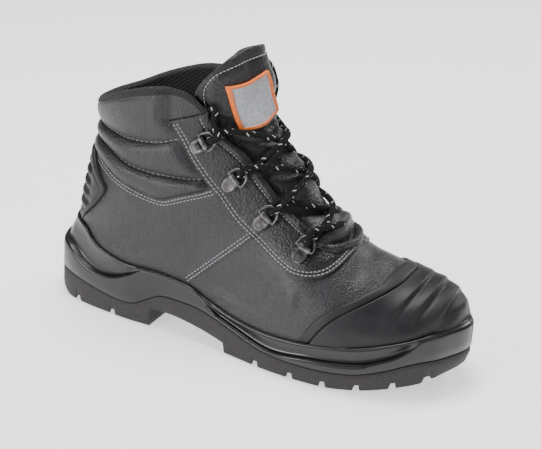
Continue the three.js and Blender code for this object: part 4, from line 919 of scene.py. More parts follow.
# The insole: a loose footbed of black foam faced with felt, cut to the inside of the last.
# It lies on the leather's turned-in edge and is pressed so that it cups a little at its own.
insole_u = np.linspace(0.9, 13.2, 70)
insole_fit = np.full(insole_u.shape, -LEATHER - 0.4)
insole_edges = []
for sign in (1, -1):
    def below(angle):
        p = off_last(insole_u, angle * sign, insole_fit)
        return p[..., 2] < curve(footbed, p[..., 0]) + 4.4
    found = search(below, np.zeros(insole_u.shape), np.full(insole_u.shape, math.pi / 2))
    insole_edges.append(off_last(insole_u, found * sign, insole_fit))
shares = np.concatenate([[0, 0], np.linspace(0, 1, 25), [1, 1]])
insole_points = mix(insole_edges[0][:, None], insole_edges[1][:, None], shares[None, :, None])
cupping = 0.8 * np.abs(2 * shares - 1) ** 4
insole_points[:, :, 2] = curve(footbed, insole_points[:, :, 0]) + 3.9 + cupping
insole_points[:, (0, -1), 2] -= 3
insole_points[:, (1, -2), 2] -= 0.2
felt = Finish("insole_felt", Roughness=0.95)
fuzz = felt.place.noise(1800, 3.0)
felt.set("Base Color", fuzz.colour((0.006, 0.006, 0.007, 1), (0.03, 0.03, 0.032, 1)))
felt.set("Normal", fuzz.bump(0.7, 0.0006))
piece("footbed", insole_points.reshape(-1, 3), grid_faces(70, len(shares)), felt, ["insole"])

# The thread: bonded nylon, sewn in even stitches that sink a little into the leather.
# Each stitch is a short bar with dipping ends. The edge seams are light grey, the rolls darker.


def resample(points, pitch):
    steps = np.linalg.norm(np.diff(points, axis=0), axis=1)
    length = np.concatenate([[0], np.cumsum(steps)])
    count = max(2, int(length[-1] / pitch))
    marks = np.linspace(0, length[-1], count + 1)
    return np.stack([np.interp(marks, length, points[:, k]) for k in range(points.shape[1])], -1)


def stitch_row(rows, pitch, length, radius, name, finish):
    """Rows of points with their outward directions, six numbers a point."""
    points, faces = [], []
    ends = np.array([-1, -0.82, -0.4, 0, 0.4, 0.82, 1])
    swell = np.array([0.35, 0.85, 1, 1, 1, 0.85, 0.35])
    sides = np.arange(6) * math.pi / 3
    for row in rows:
        marks = resample(np.asarray(row), pitch)
        places, ups = marks[:, :3], marks[:, 3:]
        middles = (places[1:] + places[:-1]) / 2
        runs = places[1:] - places[:-1]
        ups = ups[1:] + ups[:-1]
        for place, run, up in zip(middles, runs, ups):
            run = run / np.linalg.norm(run)
            up = up - run * (up @ run)
            up /= np.linalg.norm(up)
            side = np.cross(run, up)
            first = len(points)
            for e, w in zip(ends, swell):
                middle = place + run * e * length / 2 + up * radius * (0.45 - 1.1 * e * e * e * e)
                for t in sides:
                    points.append(middle + (side * math.cos(t) * 1.1 + up * math.sin(t)) * radius * w)
            faces += [[first + i * 6 + k, first + i * 6 + (k + 1) % 6,
                       first + (i + 1) * 6 + (k + 1) % 6, first + (i + 1) * 6 + k]
                      for i in range(len(ends) - 1) for k in range(6)]
            last = first + (len(ends) - 1) * 6
            faces += [[first + k for k in range(5, -1, -1)], [last + k for k in range(6)]]
    return piece(name, points, faces, finish)


def thread_finish(name, low, high):
    made = Finish(name, Roughness=0.6)
    ply = made.place.noise(2500, 1.0)
    made.set("Base Color", ply.between(0.3, 0.7).colour(low, high))
    made.set("Normal", ply.bump(0.4, 0.0002))
    return made


light_thread = thread_finish("light_thread", (0.16, 0.165, 0.175, 1), (0.40, 0.41, 0.42, 1))
dark_thread = thread_finish("dark_thread", (0.10, 0.105, 0.11, 1), (0.24, 0.245, 0.25, 1))


def sewn(u, angle, lift=0.0):
    """Points on the leather and their outward directions, ready for a row of stitches."""
    return np.concatenate([to_rim(off_last(u, angle, upper_height(u, angle) + lift)), outward(u, angle)], -1)


def collar_row(k, drop):
    """A row of stitches that keeps beside a collar seam, from one facing round the heel to the other."""
    angles = np.linspace(-0.98 * math.pi, 0.98 * math.pi, 900)
    u = seam_rows(angles)[k]
    run = np.linalg.norm(on_last(u + 0.05, angles) - on_last(u - 0.05, angles), axis=-1) / 0.1
    u = u - drop / run
    p = on_last(u, angles)
    keep = p[:, 0] < facing_back(p) - 1.0
    return sewn(u[keep], angles[keep])


stitch_row([collar_row(0, 1.7), collar_row(0, 4.0)], 2.7, 2.1, 0.36, "collar_foot_stitches", light_thread)
stitch_row([collar_row(1, 0.0), collar_row(2, 0.0)], 3.8, 2.3, 0.46, "roll_stitches", dark_thread)


def side_row(line, sign, offset=0.0):
    """A row of stitches along a line of the side view, on one side of the boot."""
    line = np.asarray(line, float)
    marks = resample(line, 1.5)
    run = np.gradient(marks, axis=0)
    run /= np.linalg.norm(run, axis=1, keepdims=True)
    marks = marks + np.stack([-run[:, 1], run[:, 0]], -1) * offset
    u, angle = find_on_side(marks, sign)
    return sewn(u, angle)


def find_on_side(marks, sign):
    """The rows and angles of the last at points (x, z) of the side view."""
    us, angles = np.meshgrid(np.linspace(0.5, 19, 371), np.linspace(0.2, math.pi - 0.02, 260), indexing="ij")
    p = on_last(us, angles * sign)
    found = []
    for x, z in marks:
        i, k = np.unravel_index(np.argmin((p[..., 0] - x) ** 2 + (p[..., 2] - z) ** 2), us.shape)
        u, a = us[i, k], angles[i, k]
        for _ in range(6):
            here = on_last(u, a * sign)[[0, 2]]
            du = (on_last(u + 0.01, a * sign)[[0, 2]] - here) / 0.01
            da = (on_last(u, (a + 0.004) * sign)[[0, 2]] - here) / 0.004
            step = np.linalg.lstsq(np.stack([du, da], 1), np.array([x, z]) - here, rcond=None)[0]
            u, a = u + np.clip(step[0], -0.1, 0.1), a + np.clip(step[1], -0.05, 0.05)
        found.append((u, a * sign))
    return np.array(found).T


quarter_rows = [side_row(quarter_seam, sign, offset) for sign in (1, -1) for offset in (1.8, 4.2)]
stitch_row(quarter_rows, 2.7, 2.1, 0.36, "quarter_stitches", light_thread)

# The toe cap and the heel guard: injected polyurethane scuff pieces, bonded over the leather.
# The cap ends in a plain band behind a groove and carries four soft ridges over the toe; the
# guard wraps the heel with level ribs and ends in a point on each side.
CAP_WALL = 2.7
cap_line = [(z * BACK, x * SOLE) for x, z in (
    (0.18, 0.2), (0.207, 0.285), (0.236, 0.344), (0.289, 0.411), (0.318, 0.444), (0.331, 0.464),
    (0.336, 0.6))]
cap_angles = np.linspace(0.2 * math.pi, 1.8 * math.pi, 250)


def cap_row(line):
    def ahead(u):
        p = on_last(u, cap_angles)
        return p[..., 0] > curve(line, p[..., 2])
    return search(ahead, np.zeros(cap_angles.shape), np.full(cap_angles.shape, 8.0))


def row_run(u, angle):
    """Millimetres on the last for one step of u."""
    return np.linalg.norm(on_last(u + 0.02, angle) - on_last(u - 0.02, angle), axis=-1) / 0.04


edge_u, line_u = cap_row(cap_edge), cap_row(cap_line)
edge_run = row_run(edge_u, cap_angles)
cap_rows, cap_heights = [], []
for share in np.linspace(0.0, 1, 120)[:-1] ** 0.85:
    cap_rows.append(mix(0.02, line_u - 1.0 / edge_run, share))
    cap_heights.append(CAP_WALL)
# The plain band: a groove in front of it, its flat middle, and its rounded edge on the leather.
band = [(-0.9, 2.6), (-0.5, 2.1), (-0.2, 0.9), (0.1, 0.7), (0.4, 0.9), (0.7, 1.75), (1.1, 1.95)]
for d, h in band:
    cap_rows.append(line_u + d / edge_run)
    cap_heights.append(h)
width_u = edge_u - line_u
for share, h in ((0.3, 2.0), (0.5, 2.05), (0.7, 2.0)):
    cap_rows.append(line_u + width_u * share)
    cap_heights.append(h)
for d, h in ((-1.0, 1.85), (-0.55, 1.5), (-0.2, 0.9), (0.0, 0.3), (0.0, -0.5)):
    cap_rows.append(edge_u + d / edge_run)
    cap_heights.append(h)
cap_u = np.array(cap_rows)
cap_a = np.broadcast_to(cap_angles, cap_u.shape)
cap_height = np.broadcast_to(np.array(cap_heights)[:, None], cap_u.shape).copy()
p = on_last(cap_u, cap_a)
# The ridges bend back to both sides and lean back as they rise.
ridge_bend = 0.0022 * np.where(p[..., 1] < 0, 3.2, 2.2)
ridge_place = p[..., 0] + ridge_bend * p[..., 1] ** 2 + 0.15 * (60 - p[..., 2])
inside_cap = smooth((line_u[None] - cap_u) * edge_run / 8)
for middle, tall in ((111.5, 1.3), (121.5, 1.9), (131.5, 2.0), (140, 1.6)):
    d = ridge_place - middle
    wedge = np.where(d < 0, np.exp(-np.abs(d / 4.6) ** 1.6), np.exp(-(d / 1.5) ** 2))
    wedge = wedge - 0.35 * np.exp(-((d - 3.2) / 1.6) ** 2)
    fade = smooth((p[..., 2] - 44) / 16) * np.exp(-((p[..., 1] + 6) / 34) ** 4)
    cap_height += tall * wedge * fade * inside_cap
cap_points = to_rim(off_last(cap_u, cap_a, cap_height), 0.3 + (CAP_WALL - cap_height.clip(-0.5, CAP_WALL)))
cap_faces = grid_faces(*cap_u.shape, flip=True)
flat_cap = cap_points.reshape(-1, 3)
cap_faces = cap_faces[~(flat_cap[cap_faces][:, :, 2]
                        < curve(rim_top, flat_cap[cap_faces][:, :, 0]) - 6).all(axis=1)]
scuff_rubber = Finish("scuff_rubber", Roughness=0.5)
scuff_rubber.shader.inputs["Specular IOR Level"].default_value = 0.28
skin_grain = scuff_rubber.place.noise(1700, 2.0)
dull = scuff_rubber.place.noise(45, 4.0)
scuff_rubber.set("Base Color", dull.between(0.3, 0.75).colour(
    (0.012, 0.0122, 0.0138, 1), (0.021, 0.021, 0.0232, 1)))
scuff_rubber.set("Roughness", dull * 0.2 + skin_grain * 0.1 + 0.34)
scuff_rubber.set("Normal", skin_grain.bump(0.3, 0.0002))
piece("scuff_cap", flat_cap, cap_faces, scuff_rubber, ["toe_cap"])

guard_top = 0.755 * BACK
guard_turns = np.linspace(0, 2 * math.pi, 240, endpoint=False)
guard_centre = 14.9
GUARD_WALL, RIB_PITCH, RIB_FOOT = 2.6, 8.2, 62


def guard_point(share):
    return guard_centre + 4.2 * share * np.cos(guard_turns), 1.5 * share * np.sin(guard_turns)


def in_guard(share):
    p = on_last(*guard_point(share))
    return (p[..., 0] < curve(guard_side, p[..., 2])) & (p[..., 2] < guard_top)


guard_reach = search(in_guard, np.zeros(guard_turns.shape), np.ones(guard_turns.shape))
for _ in range(3):
    guard_reach = (np.roll(guard_reach, 1) + 2 * guard_reach + np.roll(guard_reach, -1)) / 4
guard_edge = off_last(*guard_point(guard_reach), np.zeros(guard_turns.shape))
guard_middle = off_last(*guard_point(0 * guard_reach), np.zeros(guard_turns.shape))
guard_size = np.linalg.norm(guard_edge - guard_middle, axis=1)
profile = [(0.0, -0.5), (0.0, 0.9), (0.25, 1.9), (0.7, 2.5), (1.3, 2.7), (2.7, 2.7), (3.1, 2.35), (3.5, 1.95),
           (3.9, 2.3), (4.4, GUARD_WALL)]
guard_rows = [(guard_reach * (1 - d / guard_size), h) for d, h in profile]
guard_rows += [(guard_reach * (1 - 4.9 / guard_size) * s, GUARD_WALL) for s in np.linspace(1, 0.0, 46)]
guard_points = []
for share, h in guard_rows:
    u, a = guard_point(share)
    p = on_last(u, a)
    lift = np.full(u.shape, h)
    if h == GUARD_WALL:
        level = p[:, 2] - 0.02 * (p[:, 0] + 140)
        on_back = smooth((-0.405 * SOLE - p[:, 0]) / 9) * smooth((p[:, 2] - 60) / 6)
        rib_wave = np.sin((level - RIB_FOOT) / RIB_PITCH * 2 * math.pi)
        lift = lift + on_back * (1.25 * np.sign(rib_wave) * np.abs(rib_wave) ** 0.6 - 1.3)
    guard_points.append(off_last(u, a, lift))
guard_points = to_rim(np.array(guard_points), 0.3)
guard_faces = grid_faces(len(guard_points), len(guard_turns), closed=True)
flat_guard = guard_points.reshape(-1, 3)
guard_faces = guard_faces[~(flat_guard[guard_faces][:, :, 2]
                            < curve(rim_top, flat_guard[guard_faces][:, :, 0]) - 5).all(axis=1)]
piece("scuff_guard", flat_guard, guard_faces, scuff_rubber, ["heel_guard"], weld=True)

# The lace facing: a U of the same leather laid over the quarters and round the foot of the
# throat, sewn down by a double row at its outer edge and a single row behind a soft turned edge
# at the throat, which puffs up between the eyelets.
FACING = 1.8
EDGE_ROWS, EDGE_SINK = (1.9, 4.3), 0.28
SEW_BACK, THROAT_SINK = 7.0, 0.75
front_lateral = [(z * BACK, x * SOLE) for x, z in (
    (0.148, 0.464), (0.177, 0.477), (0.197, 0.503), (0.21, 0.549), (0.213, 0.6))]
facing_top_lateral = heights([(-0.25, 1.015), (-0.216, 1.04), (-0.174, 1.075), (-0.139, 1.09), (-0.08, 1.2)])
facing_top_medial = heights([(-0.2, 1.02), (-0.157, 1.045), (-0.11, 1.08), (-0.07, 1.092), (-0.03, 1.2)])
ray_turns = np.linspace(0, 2 * math.pi, 1440, endpoint=False)
ray_centre = 13.6


def ray_point(share):
    return ray_centre - 9.5 * share * np.cos(ray_turns), math.pi - 2.0 * share * np.sin(ray_turns)


def in_facing(share):
    u, a = ray_point(share)
    p = on_last(np.minimum(u, TOP_ROW), a)
    return ((p[..., 0] > facing_back(p)) & (p[..., 0] < curve(front_lateral, p[..., 2]))
            & (p[..., 2] > 0.464 * BACK) & (u < TOP_ROW))


def in_opening(share):
    u, a = ray_point(share)
    return in_throat(on_last(np.minimum(u, TOP_ROW), a), -0.4) & (u < TOP_ROW)


def facing_line(inside):
    """The rows and angles of an outline, from its lateral top round the foot of the throat."""
    share = search(inside, np.zeros(ray_turns.shape), np.ones(ray_turns.shape))
    u, a = ray_point(share)
    p = on_last(np.minimum(u, TOP_ROW), a)
    top = np.where(p[:, 1] < 0, curve(facing_top_lateral, p[:, 0]), curve(facing_top_medial, p[:, 0]))
    keep = (p[:, 2] < top) & (u < TOP_ROW - 0.05)
    order = np.argsort(np.mod(ray_turns + math.pi, 2 * math.pi))
    order = order[keep[order]]
    line = np.stack([u[order], a[order]], -1)
    for _ in range(6):
        line[1:-1] = (line[:-2] + 2 * line[1:-1] + line[2:]) / 4
    return line


def spread(line, count):
    """The same outline in equal steps, half of them on each side of its front."""
    p = on_last(line[:, 0], line[:, 1])
    front = int(np.argmax(p[:, 0]))
    halves = []
    for part in (slice(0, front + 1), slice(front, None)):
        q = p[part]
        length = np.concatenate([[0], np.cumsum(np.linalg.norm(np.diff(q, axis=0), axis=1))])
        marks = np.linspace(0, length[-1], count // 2 + 1)
        halves.append(np.stack([np.interp(marks, length, line[part][:, k]) for k in (0, 1)], -1))
    return np.concatenate([halves[0], halves[1][1:]])


STEPS = 420
facing_outer = spread(facing_line(in_facing), STEPS)
facing_inner = spread(facing_line(in_opening), STEPS)
outer_p, inner_p = on_last(*facing_outer.T), on_last(*facing_inner.T)
strip_width = np.linalg.norm(outer_p - inner_p, axis=1)
throat_length = np.concatenate([[0], np.cumsum(np.linalg.norm(np.diff(inner_p, axis=0), axis=1))])
from_end = np.minimum(throat_length, throat_length[-1] - throat_length)
# Each eyelet's height up the instep's slope and its place across, in shares of TALL and WIDE.
eyelets = [(1.115, -0.292), (0.755, -0.268), (0.395, -0.278), (0.05, -0.31),
           (0.87, 0.262), (0.6, 0.262), (0.34, 0.27), (0.05, 0.3)]
eyelet_names = [f"{side}_{number}" for side in ("lateral", "medial") for number in (1, 2, 3, 4)]


def seat_of(s, y):
    """The row and angle of the last at a height along the instep's slope and a given y."""
    sign = 1.0 if y < 0 else -1.0

    def row_at(angle):
        return search(lambda u: (on_last(u, angle * sign) - throat_foot) @ slope < s, 5.0, float(TOP_ROW))
    low, high = math.pi / 2, math.pi
    for _ in range(22):
        middle = (low + high) / 2
        if abs(on_last(row_at(middle), middle * sign)[1]) > abs(y):
            low = middle
        else:
            high = middle
    return float(row_at(low)), low * sign


eyelet_seats = [seat_of(s * TALL, y * WIDE) for s, y in eyelets]
pinch = np.zeros(STEPS + 1)
for u, a in eyelet_seats:
    gap_to = np.linalg.norm(inner_p - on_last(u, a), axis=1)
    pinch = np.maximum(pinch, np.exp(-((gap_to - gap_to.min()) / 4.5) ** 2))
PUFF = 2.1
puff = PUFF * (1 - 0.75 * pinch) * smooth(from_end / 8) * (1 + 0.3 * smooth((inner_p[:, 0] - 30) / 15))
puff *= 1 + 1.7 * smooth(inner_p[:, 1] / 14) * smooth((45 - inner_p[:, 0]) / 20)
# Columns of points from the throat's edge, which is doubled to close it, to the outer edge.
facing_columns = [np.full(STEPS + 1, float(d)) for d in (
    0, 0, 0.35, 0.9, 1.7, 2.8, 4.0, 5.2, 6.1, 6.6, 7.0, 7.4, 8.0, 9.0)]
facing_columns += [mix(9.0, strip_width - 7.2, s) for s in np.linspace(0, 1, 16)[1:]]
facing_columns += [strip_width - d for d in (
    6.2, 5.2, 4.5, 4.0, 3.4, 2.6, 2.0, 1.5, 1.0, 0.55, 0.2, 0.0, 0.0)]
facing_columns = np.array(facing_columns)
share = np.clip(facing_columns / strip_width, 0, 1)
facing_u = mix(facing_inner[:, 0], facing_outer[:, 0], share)
facing_a = mix(facing_inner[:, 1], facing_outer[:, 1], share)
fp = on_last(facing_u, facing_a)
d_in, d_out = facing_columns, strip_width - facing_columns
wrinkle = 0.14 * waver(fp, 2.6, 5.0) + 0.35 * waver(fp, 5.5, 7.0) + 1.3 * waver(fp, 11.0, 2.0)
at_foot = smooth((fp[..., 0] - 30) / 12)
height = FACING + puff * np.sin(math.pi * np.clip(d_in / SEW_BACK, 0, 1)) ** 0.75
height = height - THROAT_SINK * np.exp(-((d_in - SEW_BACK) / 0.8) ** 2) * smooth(from_end / 6)
height = height + (0.25 + 0.6 * at_foot) * wrinkle * smooth((d_out - 4) / 5)
for sewn_at in EDGE_ROWS:
    height = height - EDGE_SINK * np.exp(-((d_out - sewn_at) / 0.7) ** 2)
height = height - (FACING - 0.3) * (1 - np.sqrt(np.clip(1 - (1 - np.clip(d_out / 1.0, 0, 1)) ** 2, 0, 1)))
end_round = np.sqrt(np.clip(1 - (1 - np.clip(from_end / 0.9, 0, 1)) ** 2, 0, 1))
height = 0.3 + (height - 0.3) * end_round
base = upper_height(facing_u, facing_a)
facing_height = base + height
facing_points = off_last(facing_u, facing_a, facing_height)
facing_points[0] = off_last(facing_u[0], facing_a[0], np.full(STEPS + 1, -LEATHER))
facing_points[1] = off_last(facing_u[1], facing_a[1], facing_height[1] * 0.55 - 0.3)
facing_points[-1] = off_last(facing_u[-1], facing_a[-1], base[-1] - 0.4)
ends = np.array([off_last(facing_u[:, k], facing_a[:, k], base[:, k] - 0.4) for k in (0, -1)])
facing_points = np.concatenate([ends[0][:, None], facing_points, ends[1][:, None]], 1)
# The facing is the same leather as the upper; its colour, darkened to 0.6 of the upper's, is painted shade.
facing_leather = leather_finish("facing_leather", 620, 0.4, 0.6)
piece("lace_facing", facing_points.reshape(-1, 3), grid_faces(facing_points.shape[0], facing_points.shape[1]),
      facing_leather, ["facing"])


def facing_row(where, from_inner):
    share = np.clip((where if from_inner else strip_width - where) / strip_width, 0, 1)
    u = mix(facing_inner[:, 0], facing_outer[:, 0], share)
    a = mix(facing_inner[:, 1], facing_outer[:, 1], share)
    lift = FACING - (THROAT_SINK if from_inner else EDGE_SINK)
    keep = from_end > 1.5
    return sewn(u[keep], a[keep], lift)


stitch_row([facing_row(where, False) for where in EDGE_ROWS] + [facing_row(SEW_BACK, True)], 2.8, 2.2, 0.37,
           "facing_stitches", light_thread)

# The tongue: soft pebbled leather over foam, sewn in at the foot of the throat and gusseted at
# its sides. It stands up behind the laces, rounded at the top, with one row of stitches inside
# its edge, and creases across where the ankle bends.
tongue_rows = np.array([
    # row, drop, lateral, medial
    (6.1, 0.0, 0.02, 0.02), (6.5, 0.0, 0.16, 0.16), (7.0, 0.0, 0.24, 0.235), (7.6, 0.05, 0.26, 0.25),
    (8.6, 0.2, 0.27, 0.26), (9.6, 0.8, 0.27, 0.255), (10.8, 1.5, 0.27, 0.255), (12.2, 2.2, 0.275, 0.255),
    (13.6, 2.8, 0.283, 0.255), (15.0, 2.6, 0.295, 0.255), (16.4, 2.3, 0.305, 0.26), (17.8, 2.3, 0.307, 0.27),
    (19.0, 2.3, 0.305, 0.275)])
TONGUE, TONGUE_SEWN = 6.0, 8.0
TONGUE_CORNER = 18.0
tongue_u = np.concatenate([np.linspace(6.1, 18.4, 170), np.linspace(18.4, 19.0, 22)[1:]])
COLUMNS = 71
ridge_points = on_last(tongue_u, np.full(tongue_u.shape, math.pi))
ridge_steps = np.linalg.norm(np.diff(ridge_points, axis=0), axis=1)
to_top = np.concatenate([np.cumsum(ridge_steps[::-1])[::-1], [0]])


def corner_cut(gap_to_top):
    """How far a rounded corner draws the tongue's side in."""
    return TONGUE_CORNER * (1 - np.sqrt(1 - (1 - np.clip(gap_to_top / TONGUE_CORNER, 0, 1)) ** 2))


def tongue_side(u, k):
    """Half widths of the tongue: k is 2 for the lateral side and 3 for the medial one."""
    return curve(tongue_rows[:, (0, k)], u) * WIDE - corner_cut(np.interp(u, tongue_u, to_top))


def tongue_depth(u, y):
    """How deep the tongue's face lies under the last's surface.

    Its medial side is drawn forwards at the top and swollen half way down; its middle is flatter.
    """
    forward = mix(11, 7, smooth((u - 15.3) / 2)) * smooth((u - 12.4) / 2.6) * smooth((y + 8) / 34)
    flatter = 3.2 * smooth((u - 13.0) / 2) * np.exp(-((y + 6) / 13) ** 2)
    swollen = 4.0 * smooth((u - 8.6) / 1.2) * (1 - smooth((u - 13) / 2)) * np.exp(-((y - 10) / 5.5) ** 2)
    return LEATHER + 0.3 + curve(tongue_rows[:, :2], u) - forward + flatter - swollen


def angle_at(u, y):
    """The angle where rows of the last stand at given y, on the side of the ridge that y is on."""
    sign = np.where(y < 0, 1.0, -1.0)
    return sign * search(lambda a: np.abs(on_last(u, a * sign)[..., 1]) > np.abs(y),
                         np.full(np.shape(y), math.pi / 2), np.full(np.shape(y), math.pi))


tongue_shares = (1 - np.cos(np.linspace(0, math.pi, COLUMNS))) / 2
tu = tongue_u[:, None] - 0.22 * np.abs(2 * tongue_shares - 1) ** 2 * smooth((tongue_u[:, None] - 16.5) / 2.5)
ty = mix(-tongue_side(tongue_u, 2)[:, None], tongue_side(tongue_u, 3)[:, None], tongue_shares[None])
ta = angle_at(tu, ty)
tp = on_last(tu, ta)
across_run = np.cumsum(np.linalg.norm(np.diff(tp, axis=1), axis=2), axis=1)
across_run = np.concatenate([np.zeros((len(tongue_u), 1)), across_run], 1)
edge = np.minimum(across_run, across_run[:, -1:] - across_run)
rim_gap = np.minimum(edge, to_top[:, None])
rounding = np.sqrt(np.clip(1 - (1 - np.clip(rim_gap / 3.0, 0, 1)) ** 2, 0, 1))
crown = smooth((rim_gap - 7) / 8) - 0.7 * np.exp(-((rim_gap - TONGUE_SEWN) / 0.9) ** 2) * (tu > 13)
crown = crown + 7.2 * np.exp(-((tu - 7.3) / 0.65) ** 2) * smooth((rim_gap - 0.5) / 4)
# Creases across the tongue, listed: height, depth, width and slope.
tongue_creases = [
    (150, -1.8, 2.2, 0.1), (145.5, 1.3, 2.6, 0.1), (157, -1.4, 2.4, -0.08), (161.5, 0.9, 3, -0.08),
    (168, -0.8, 2.6, 0.05), (139, -1, 2.2, -0.12), (131, -1.2, 2.6, 0.1), (125, 0.8, 2.6, 0.1),
    (118, -1.1, 3, 0.1), (106, -1.3, 3, -0.1), (99, -1.2, 2.5, 0.12), (93, 1, 3, 0), (88, -1.1, 2, 0.1),
]
folds = np.zeros(tu.shape)
for z, depth, width, lean_by in tongue_creases:
    off_fold = tp[..., 2] - z - lean_by * tp[..., 1] - 1.2 * np.sin(tp[..., 1] / 6)
    folds += depth * np.exp(-(off_fold / width) ** 2)
folds *= 0.6 + 0.4 * np.cos(tp[..., 1] / 16)
depth = tongue_depth(tu, ty)
tongue_front = (-depth - (TONGUE / 2) * (1 - rounding)
                + (crown + folds * 0.8 + 0.4 * waver(tp, 4.0, 4.0)) * rounding)
tongue_back = -depth - TONGUE + (TONGUE / 2) * (1 - rounding) + 0.01
front_points, back_points = off_last(tu, ta, tongue_front), off_last(tu, ta, tongue_back)
tongue_points = np.concatenate([front_points.reshape(-1, 3), back_points.reshape(-1, 3)])
count = len(tongue_u) * COLUMNS
tongue_faces = list(grid_faces(len(tongue_u), COLUMNS))
tongue_faces += list(grid_faces(len(tongue_u), COLUMNS, flip=True) + count)
for r in range(len(tongue_u) - 1):
    a, b = r * COLUMNS, (r + 1) * COLUMNS
    tongue_faces.append([a, b, b + count, a + count])
    a, b = a + COLUMNS - 1, b + COLUMNS - 1
    tongue_faces.append([b, a, a + count, b + count])
for k in range(COLUMNS - 1):
    a = count - COLUMNS + k
    tongue_faces.append([a, a + 1, a + 1 + count, a + count])
tongue_leather = leather_finish("tongue_leather", 480, 0.44, 0.75)
tongue = piece("padded_tongue", tongue_points, tongue_faces, tongue_leather, ["tongue"])


def beside_edge(medial):
    """Rows and places across, up one side of the tongue's upper half, as far in as it is sewn."""
    found = []
    for r in np.flatnonzero((tongue_u > 14.0) & (to_top > TONGUE_SEWN)):
        mark = across_run[r, -1] - TONGUE_SEWN if medial else TONGUE_SEWN
        k = np.interp(mark, across_run[r], np.arange(COLUMNS))
        found.append((tongue_u[r], np.interp(k, np.arange(COLUMNS), ty[r])))
    return found


def tongue_stitches():
    """Along both sides and round the top."""
    lateral, medial = beside_edge(False), beside_edge(True)
    over_top = [(lateral[-1][0], y) for y in np.linspace(lateral[-1][1], medial[-1][1], 12)[1:-1]]
    line = np.array(lateral + over_top + medial[::-1])
    for _ in range(12):
        line[1:-1] = (line[:-2] + 2 * line[1:-1] + line[2:]) / 4
    u, y = line.T
    a = angle_at(u, y)
    return np.concatenate([off_last(u, a, -tongue_depth(u, y) + 0.3), outward(u, a)], -1)


stitch_row([tongue_stitches()], 2.8, 2.2, 0.36, "tongue_stitches", light_thread)

# The label: a plain patch of soft moulded plastic, pale grey, with a raised orange border that
# is sewn down to the front of the tongue by a row of dark stitches.

# The place across and the height of the lateral and then the medial corner, below and above.
label_foot, label_top = (-0.195, 1.02, 0.078, 1.075), (-0.235, 1.22, 0.07, 1.262)
BORDER = 0.066
label_marks = np.unique(np.concatenate([[0, 0.012, 0.03], np.linspace(0.05, 0.95, 46), [0.97, 0.988, 1],
                                        [0.06, 0.072, 0.928, 0.94]]))
up_share, side_share = np.meshgrid(label_marks, label_marks, indexing="ij")


def over_label(k):
    """One of the corners' numbers, spread over the label."""
    return mix(mix(label_foot[k], label_top[k], up_share), mix(label_foot[k + 2], label_top[k + 2], up_share),
               side_share)


label_y, label_z = over_label(0) * WIDE, over_label(1) * BACK
label_u = search(lambda u: on_last(u, angle_at(u, label_y))[..., 2] < label_z,
                 np.full(label_y.shape, 9.0), np.full(label_y.shape, float(TOP_ROW)), 20)
label_a = angle_at(label_u, label_y)
border = np.minimum(np.minimum(up_share, 1 - up_share), np.minimum(side_share, 1 - side_share))
label_height = (1.25 + 0.75 * (1 - smooth((border - BORDER + 0.006) / 0.012))
                - 0.25 * np.exp(-((border - 0.04) / 0.008) ** 2))
label_height *= np.sqrt(np.clip(1 - (1 - np.clip(border / 0.02, 0, 1)) ** 2, 0, 1)) * 0.75 + 0.25
label_points = off_last(label_u, label_a, -tongue_depth(label_u, label_y) + 1.6 + label_height)
label_back = off_last(label_u, label_a, -tongue_depth(label_u, label_y) + 0.3)
side = len(label_marks)
label_faces = list(grid_faces(side, side)) + list(grid_faces(side, side, flip=True) + side * side)
for k in range(side - 1):
    for a, b in ((k, k + 1), ((side - 1) * side + k + 1, (side - 1) * side + k),
                 ((k + 1) * side, k * side), (k * side + side - 1, (k + 1) * side + side - 1)):
        label_faces.append([b, a, a + side * side, b + side * side])
face_border = border.ravel()[np.array(list(grid_faces(side, side)))].mean(axis=1)
label_kind = np.concatenate([(face_border > BORDER).astype(int),
                             np.zeros(len(label_faces) - len(face_border), int)])


def label_finish(name, low, high):
    made = Finish(name, Roughness=0.5)
    cloud = made.place.noise(500, 3.0)
    made.set("Base Color", cloud.between(0.25, 0.75).colour(low, high))
    made.set("Roughness", cloud * 0.2 + 0.4)
    made.set("Normal", cloud.bump(0.25, 0.0003))
    return made


orange = label_finish("orange_border", (0.72, 0.13, 0.006, 1), (0.86, 0.18, 0.012, 1))
pale_grey = label_finish("pale_grey_field", (0.28, 0.285, 0.31, 1), (0.42, 0.43, 0.46, 1))
piece("tongue_patch", np.concatenate([label_points.reshape(-1, 3), label_back.reshape(-1, 3)]), label_faces,
      [orange, pale_grey], ["tongue_label"], face_finish=label_kind)
# Round the middle of the border, from the foot's lateral corner and back to it.
low, high = 0.05, 0.95
there, back_again = np.linspace(0.06, 0.94, 24), np.linspace(0.94, 0.06, 24)
inset_marks = ([(low, t) for t in there] + [(t, high) for t in there]
               + [(high, t) for t in back_again] + [(t, low) for t in back_again])
patch_row = []
for up, across in inset_marks + inset_marks[:1]:
    i, k = (int(round(np.interp(mark, label_marks, np.arange(side)))) for mark in (up, across))
    patch_row.append(np.concatenate([label_points[i, k], outward(label_u[i, k], label_a[i, k])]))
stitch_row([np.array(patch_row)], 2.6, 1.5, 0.26, "patch_stitches", dark_thread)

# The eyelets: D-rings of bent steel wire, each held by a shield-shaped clip that is folded
# round the ring's straight bar and riveted from behind; both are plated gunmetal.
RING_WIRE, RING_WIDTH, RING_REACH = 1.7, 12.5, 8.5
CLIP_WIDTH, CLIP_LENGTH, CLIP_WALL = 9.5, 11.0, 1.3
FOLD_INNER = RING_WIRE / 2 + 0.3
FOLD_OUTER = FOLD_INNER + 0.9
BAR_X = CLIP_LENGTH / 2
RING_TILT = -0.12


